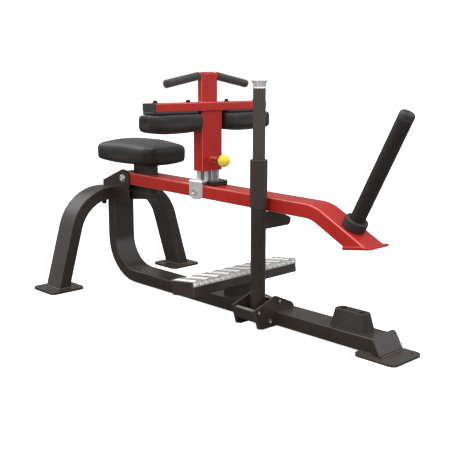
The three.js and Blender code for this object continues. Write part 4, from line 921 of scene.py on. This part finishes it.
# Above and below the cross bar, and round the pull pin's housing.
PIN_Z = 0.55
HOUSING_RADIUS, HOUSING_STEPS = 0.0142, 28
HOUSING_CLEAR = 0.03  # the post's points this far from its middle aren't the housing's
bar_low, bar_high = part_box("cross_bar")
above, below = (0, 0, bar_high.z + CUT_GAP), (0, 0, bar_low.z - CUT_GAP)
knee_lines = [
    weld_line("handle_mast", above, Z, move=-0.0015, radius=0.0022),
    weld_line("outer_post", below, Z, move=0.001, radius=0.0022),
]
co = points_of(nodes["outer_post"].data)
face_x = co[np.abs(co[:, 1]) > HOUSING_CLEAR][:, 0].max() + 0.0004
ring = []
for i in range(HOUSING_STEPS):
    a = 2 * math.pi * i / HOUSING_STEPS
    ring.append((face_x, HOUSING_RADIUS * math.cos(a), PIN_Z + HOUSING_RADIUS * math.sin(a)))
knee_lines.append((ring, 0.0021, True))
welds("knee_welds", knee_lines, "knee_unit", RED)

LEVER_TILT = math.radians(8.2)
off_plate = Vector((-math.sin(LEVER_TILT), 0, math.cos(LEVER_TILT)))
co = points_of(nodes["lever_end_plate"].data)
cut = off_plate * (max(float(Vector(p).dot(off_plate)) for p in co) + 0.0022)
line = weld_line("lever_arm", cut, off_plate, move=-0.0012, radius=0.0021)
welds("lever_end_weld", [line], "lever", RED)

# ------ fasteners
# A head or nut is a list of (radius, distance from its bolt's end).
SIXTH = math.pi / 3
AXLE_ROD, AXLE_FLATS = 0.0122, {9, 10}
AXLE_HEAD = [
    (0.0122, 0.0092), (0.017, 0.009), (0.017, 0.0062), (0.0164, 0.0056), (0.0146, 0.0056),
    (0.0144, 0.0036), (0.0128, 0.0012), (0.0102, 0.0001), (0.0078, 0), (0.0072, 0.0005),
    (0.0066, 0.0046), (0, 0.0052),
]
BRACKET_ROD, BRACKET_FLATS = 0.0078, {3, 4, 5}
BRACKET_HEAD = [
    (0.0078, 0.0092), (0.014, 0.009), (0.014, 0.0074), (0.0128, 0.0072), (0.0128, 0.0012),
    (0.0116, 0.0002), (0.0086, 0), (0.0076, 0.0006), (0, 0.0008),
]
ROD_INSET = 0.0091  # a rod starts this far inside its bolt's end, under the head
PAD_ROD, PAD_FLATS = 0.004, {5, 6}
PAD_NUT = [
    (PAD_ROD, 0.0102), (0.011, 0.0101), (0.011, 0.0084), (0.0089, 0.0081), (0.0089, 0.0044),
    (0.0078, 0.0038), (0.0068, 0.0018), (0.0042, 0.0004), (0, 0),
]
LEG_ROD, LEG_FLATS = 0.005, {2, 3}
LEG_HEAD = [
    (0, 0), (0.0086, 0), (0.0106, 0.0014), (0.0106, 0.0138), (0.013, 0.0141), (0.013, 0.0168),
    (LEG_ROD, 0.017),
]
CLEVIS_PLATE = 0.0087
CLEVIS_FLATS = {3, 4, 5}


def lathed(profile, steps, origin, axis, flats=()):
    """A turned shape about an axis from (radius, distance) pairs. The rings that flats names are
    hexagons."""
    axis = Vector(axis).normalized()
    u = axis.orthogonal().normalized()
    v = axis.cross(u)
    verts, faces, rings = [], [], []
    for n, (radius, distance) in enumerate(profile):
        if radius == 0:
            rings.append([len(verts)])
            verts.append(Vector(origin) + axis * distance)
            continue
        ring = []
        for i in range(steps):
            a = 2 * math.pi * (i + 0.5) / steps
            r = radius
            if n in flats:
                sector = (a + SIXTH / 2) % SIXTH - SIXTH / 2
                r = radius * math.cos(SIXTH / 2) / math.cos(sector)
            ring.append(len(verts))
            outward = u * math.cos(a) + v * math.sin(a)
            verts.append(Vector(origin) + axis * distance + outward * r)
        rings.append(ring)
    for a, b in zip(rings, rings[1:]):
        for i in range(steps):
            j = (i + 1) % steps
            if len(a) == 1:
                faces.append((a[0], b[j], b[i]))
            elif len(b) == 1:
                faces.append((a[i], a[j], b[0]))
            else:
                faces.append((a[i], a[j], b[j], b[i]))
    return verts, faces


def fastener(name, body, material, shapes, smooth_angle=32.0):
    """One piece of several shapes, smooth but for edges that turn more than smooth_angle."""
    mesh = new_skin(name, *joined(shapes))
    bm = bmesh.new()
    bm.from_mesh(mesh)
    bmesh.ops.recalc_face_normals(bm, faces=bm.faces)
    bm.to_mesh(mesh)
    bm.free()
    mesh.set_sharp_from_angle(angle=math.radians(smooth_angle))
    return new_piece(name, mesh, body, material)


def ends_of(node, axis):
    """The middle of a node's box and its lowest and highest value along an axis."""
    low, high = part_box(node)
    return (low + high) / 2, low[axis], high[axis]


def cross_bolt(node, name, body, head, flats, rod, rod_steps):
    """A bright bolt across the machine: a head at each end and the rod between them."""
    middle, near, far = ends_of(node, 1)
    shapes = []
    for side, end in ((-1, near), (1, far)):
        depth = abs(end - middle.y)
        profile = [(radius, depth - inside) for radius, inside in head]
        shapes.append(lathed(profile, 36, middle, (0, side, 0), flats))
    near, far = near + ROD_INSET, far - ROD_INSET
    profile = [(0, near), (rod, near), (rod, far), (0, far)]
    shapes.append(lathed(profile, rod_steps, (middle.x, 0, middle.z), (0, 1, 0)))
    return fastener(name, body, BRIGHT_BOLT, shapes)


def upright_bolt(node, name, body, profile, flats):
    """A black bolt along Z, through the middle of its node."""
    middle = ends_of(node, 2)[0]
    shape = lathed(profile, 24, (middle.x, middle.y, 0), (0, 0, 1), flats)
    piece = fastener(name, body, BLACK_STEEL, [shape])
    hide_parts(node)


# The axle has a washer, a domed head and a hexagon socket at each end.
axle = cross_bolt("lever_axle", "axle_bolt", "frame", AXLE_HEAD, AXLE_FLATS, AXLE_ROD, 36)
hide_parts("lever_axle")

# The bracket's bolt has a washer and a chamfered hexagon at each end.
bolt = cross_bolt(
    "bracket_bolt", "bracket_hex_bolt", "knee_base", BRACKET_HEAD, BRACKET_FLATS, BRACKET_ROD, 24
)
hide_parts("bracket_bolt")

# A pad bolt has a washer, a hexagon and a domed end.
for place in ("outer_right", "inner_right", "inner_left", "outer_left"):
    node = "pad_bolt_" + place
    middle, near, far = ends_of(node, 2)
    profile = [(0, near), (PAD_ROD, near)] + [(radius, far - down) for radius, down in PAD_NUT]
    upright_bolt(node, "pad_nut_" + place, "knee_unit", profile, PAD_FLATS)

# A clevis bolt has a shank in its spacer, and at each end a washer, a hexagon and a bright tip.
for node, shank, spacer, head, tall in (
    ("catch_pivot_bolt", 0.0077, 0.0077, 0.0105, 0.007),
    ("catch_inner_stop", 0.006, 0.0085, 0.0085, 0.006),
    ("catch_outer_stop", 0.006, 0.0085, 0.0085, 0.006),
):
    middle, near, far = ends_of(node, 0)
    origin = (0, middle.y, middle.z)
    inner, outer = near + tall, far - tall
    profile = [
        (0, inner), (shank, inner), (shank, inner + CLEVIS_PLATE - 0.0001),
        (spacer, inner + CLEVIS_PLATE), (spacer, outer - CLEVIS_PLATE),
        (shank, outer - CLEVIS_PLATE + 0.0001), (shank, outer), (0, outer),
    ]
    shapes, tips = [lathed(profile, 28, origin, (1, 0, 0))], []
    for side, end in ((-1, near), (1, far)):
        top = side * end
        base = top - tall
        profile = [
            (shank - 0.001, base), (head + 0.0002, base), (head + 0.0002, base + 0.0012),
            (head * 0.93, base + 0.0013), (head * 0.93, top - 0.0012), (head * 0.8, top - 0.0004),
            (head * 0.5, top - 0.0002), (0, top - 0.0001),
        ]
        shapes.append(lathed(profile, 30, origin, (side, 0, 0), CLEVIS_FLATS))
        rim = head * 0.44
        tip = [(rim, top - 0.001), (rim, top - 0.0003), (head * 0.36, top), (0, top)]
        tips.append(lathed(tip, 20, origin, (side, 0, 0)))
    piece = fastener(node + "_hex", "frame", ZINC, shapes)
    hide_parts(node)
    fastener(node + "_tips", "frame", CHROME, tips)

# The pull pin has a ball on a short neck.
NECK_RADIUS, NECK_RIM, NECK_EASE = 0.0092, 0.009, 0.0012
BALL_STEPS = 20
low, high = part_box("pin_knob")
ball = (high.z - low.z) / 2
heart = high.x - ball
profile = [(0, low.x), (0.0085, low.x), (NECK_RIM, low.x + NECK_EASE)]
first = math.asin(NECK_RADIUS / ball)
for i in range(BALL_STEPS):
    a = first + (math.pi - first) * i / BALL_STEPS
    if heart - ball * math.cos(a) >= low.x:
        profile.append((ball * math.sin(a), heart - ball * math.cos(a)))
profile.append((0, heart + ball))
shape = lathed(profile, 36, (0, 0, PIN_Z), (1, 0, 0))
knob = fastener("ball_knob", body_of["pin_knob"], YELLOW, [shape], 50.0)
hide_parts("pin_knob")

# A leg bolt has a hexagon head under a washer.
for hand in ("right", "left"):
    node = "leg_bolt_" + hand
    middle, near, far = ends_of(node, 2)
    profile = [(radius, near + above) for radius, above in LEG_HEAD] + [(LEG_ROD, far), (0, far)]
    upright_bolt(node, "leg_hex_bolt_" + hand, "frame", profile, LEG_FLATS)

# ------ floor, light, world
# Name, place, aim, size, power, tint, and the share that shows in reflections.
LIGHTS = [
    ("overhead", (0.1, -0.2, 2.9), (0.05, 0, 0.3), (2.4, 1.8), 38, (1.0, 0.99, 0.98), 1),
    ("key_left", (1.5, -5.4, 2.9), (0, 0, 0.4), (4.0, 3.4), 190, (1.0, 0.985, 0.97), 0.45),
    ("key_right", (5.7, -1.6, 2.7), (0, 0, 0.4), (4.0, 3.4), 172, (1.0, 0.985, 0.97), 0.45),
]
# Direction, cosines of the outer and inner edge, and light of each soft window.
SOFT_WINDOWS = [
    ((0.72, 0.66, 0.3), (0.8, 0.97), (1.1, 1.15, 1.28)),
    ((-0.68, -0.66, 0.4), (0.8, 0.97), (0.78, 0.8, 0.83)),
    ((-0.7, -0.2, 0.68), (0.9, 0.97), (2.3, 2.35, 2.45)),
    ((0.2, 0.68, 0.71), (0.9, 0.97), (0.6, 0.6, 0.6)),
]
WALLS = [(0.0, 0.34), (0.3, 0.36), (0.6, 0.3), (1.0, 0.3)]  # how high, and how light
WALL_TINT = (0.97, 0.985, 1)
BACKDROP = 1.05
FLOOR_REACH = 40
FLOOR_TONES = (0.9, 0.93)
FLOOR_GLOW = 0.86  # to the camera
FLOOR_RETURN = 0.2  # to the object


def area_light(name, at, aim, size, power, color, shiny):
    data = bpy.data.lights.new(name, "AREA")
    data.shape = "RECTANGLE"
    data.size, data.size_y = size
    data.energy = power
    data.color = color
    light = bpy.data.objects.new(name, data)
    light.location = at
    light.rotation_euler = (Vector(aim) - Vector(at)).to_track_quat("-Z", "Y").to_euler()
    scene.collection.objects.link(light)
    light.visible_glossy = shiny


for name, at, aim, size, power, tint, shine in LIGHTS:
    area_light(name, at, aim, size, power * shine, tint, True)
    if shine < 1:
        area_light(name + "_fill", at, aim, size, power * (1 - shine), tint, False)


def studio_world():
    """White to the camera; to everything else pale walls that fade upwards, and the windows."""
    world = bpy.data.worlds.new("studio")
    world.use_nodes = True
    scene.world = world
    tree = world.node_tree
    tree.nodes.clear()
    toward = shader(tree, "TexCoord").outputs["Generated"]
    height = shader(tree, "SeparateXYZ", {0: toward}).outputs["Z"]
    ramp = shader(tree, "ValToRGB", {0: height})
    while len(ramp.color_ramp.elements) < len(WALLS):
        ramp.color_ramp.elements.new(0.5)
    for element, (spot, light) in zip(ramp.color_ramp.elements, WALLS):
        element.position = spot
        element.color = tuple(light * tint for tint in WALL_TINT) + (1,)
    glow = ramp.outputs[0]
    for middle, (outer, inner), light in SOFT_WINDOWS:
        fed = {0: toward, 1: Vector(middle).normalized()}
        near = shader(tree, "VectorMath", fed, operation="DOT_PRODUCT").outputs["Value"]
        fed = {"Value": near, "From Min": outer, "From Max": inner}
        edge = shader(tree, "MapRange", fed, interpolation_type="SMOOTHSTEP").outputs[0]
        pane = shader(tree, "VectorMath", {0: light, "Scale": edge}, operation="SCALE").outputs[0]
        glow = shader(tree, "VectorMath", {0: glow, 1: pane}, operation="ADD").outputs[0]
    lit = shader(tree, "Background", {"Color": glow}).outputs[0]
    seen = shader(tree, "Background", {"Strength": BACKDROP, "Color": (1, 1, 1, 1)}).outputs[0]
    direct = shader(tree, "LightPath").outputs["Is Camera Ray"]
    mix = shader(tree, "MixShader", {"Fac": direct, 1: lit, 2: seen})
    shader(tree, "OutputWorld", {"Surface": mix.outputs[0]})


def pale_floor():
    """A plain floor, white to the camera and a soft grey to the light that it returns."""
    k = Look("pale_floor")
    grey, pale, dull = ((tone,) * 3 + (1,) for tone in (*FLOOR_TONES, FLOOR_RETURN))
    tone = k.blend(k.span(k.noise(3.0, detail=4.0), MOST), grey, pale)
    direct = k.node("LightPath").outputs["Is Camera Ray"]
    k.set(Base_Color=k.blend(direct, dull, tone), Roughness=0.9)
    k.set(Specular_IOR_Level=0.0, Emission_Color=(1, 1, 1, 1))
    k.set(Emission_Strength=k.times(direct, FLOOR_GLOW))
    return k.mat


studio_world()
bm = bmesh.new()
bmesh.ops.create_grid(bm, x_segments=4, y_segments=4, size=FLOOR_REACH)
floor_mesh = bpy.data.meshes.new("floor")
bm.to_mesh(floor_mesh)
bm.free()
floor = bpy.data.objects.new("floor", floor_mesh)
floor_mesh.materials.append(pale_floor())
scene.collection.objects.link(floor)
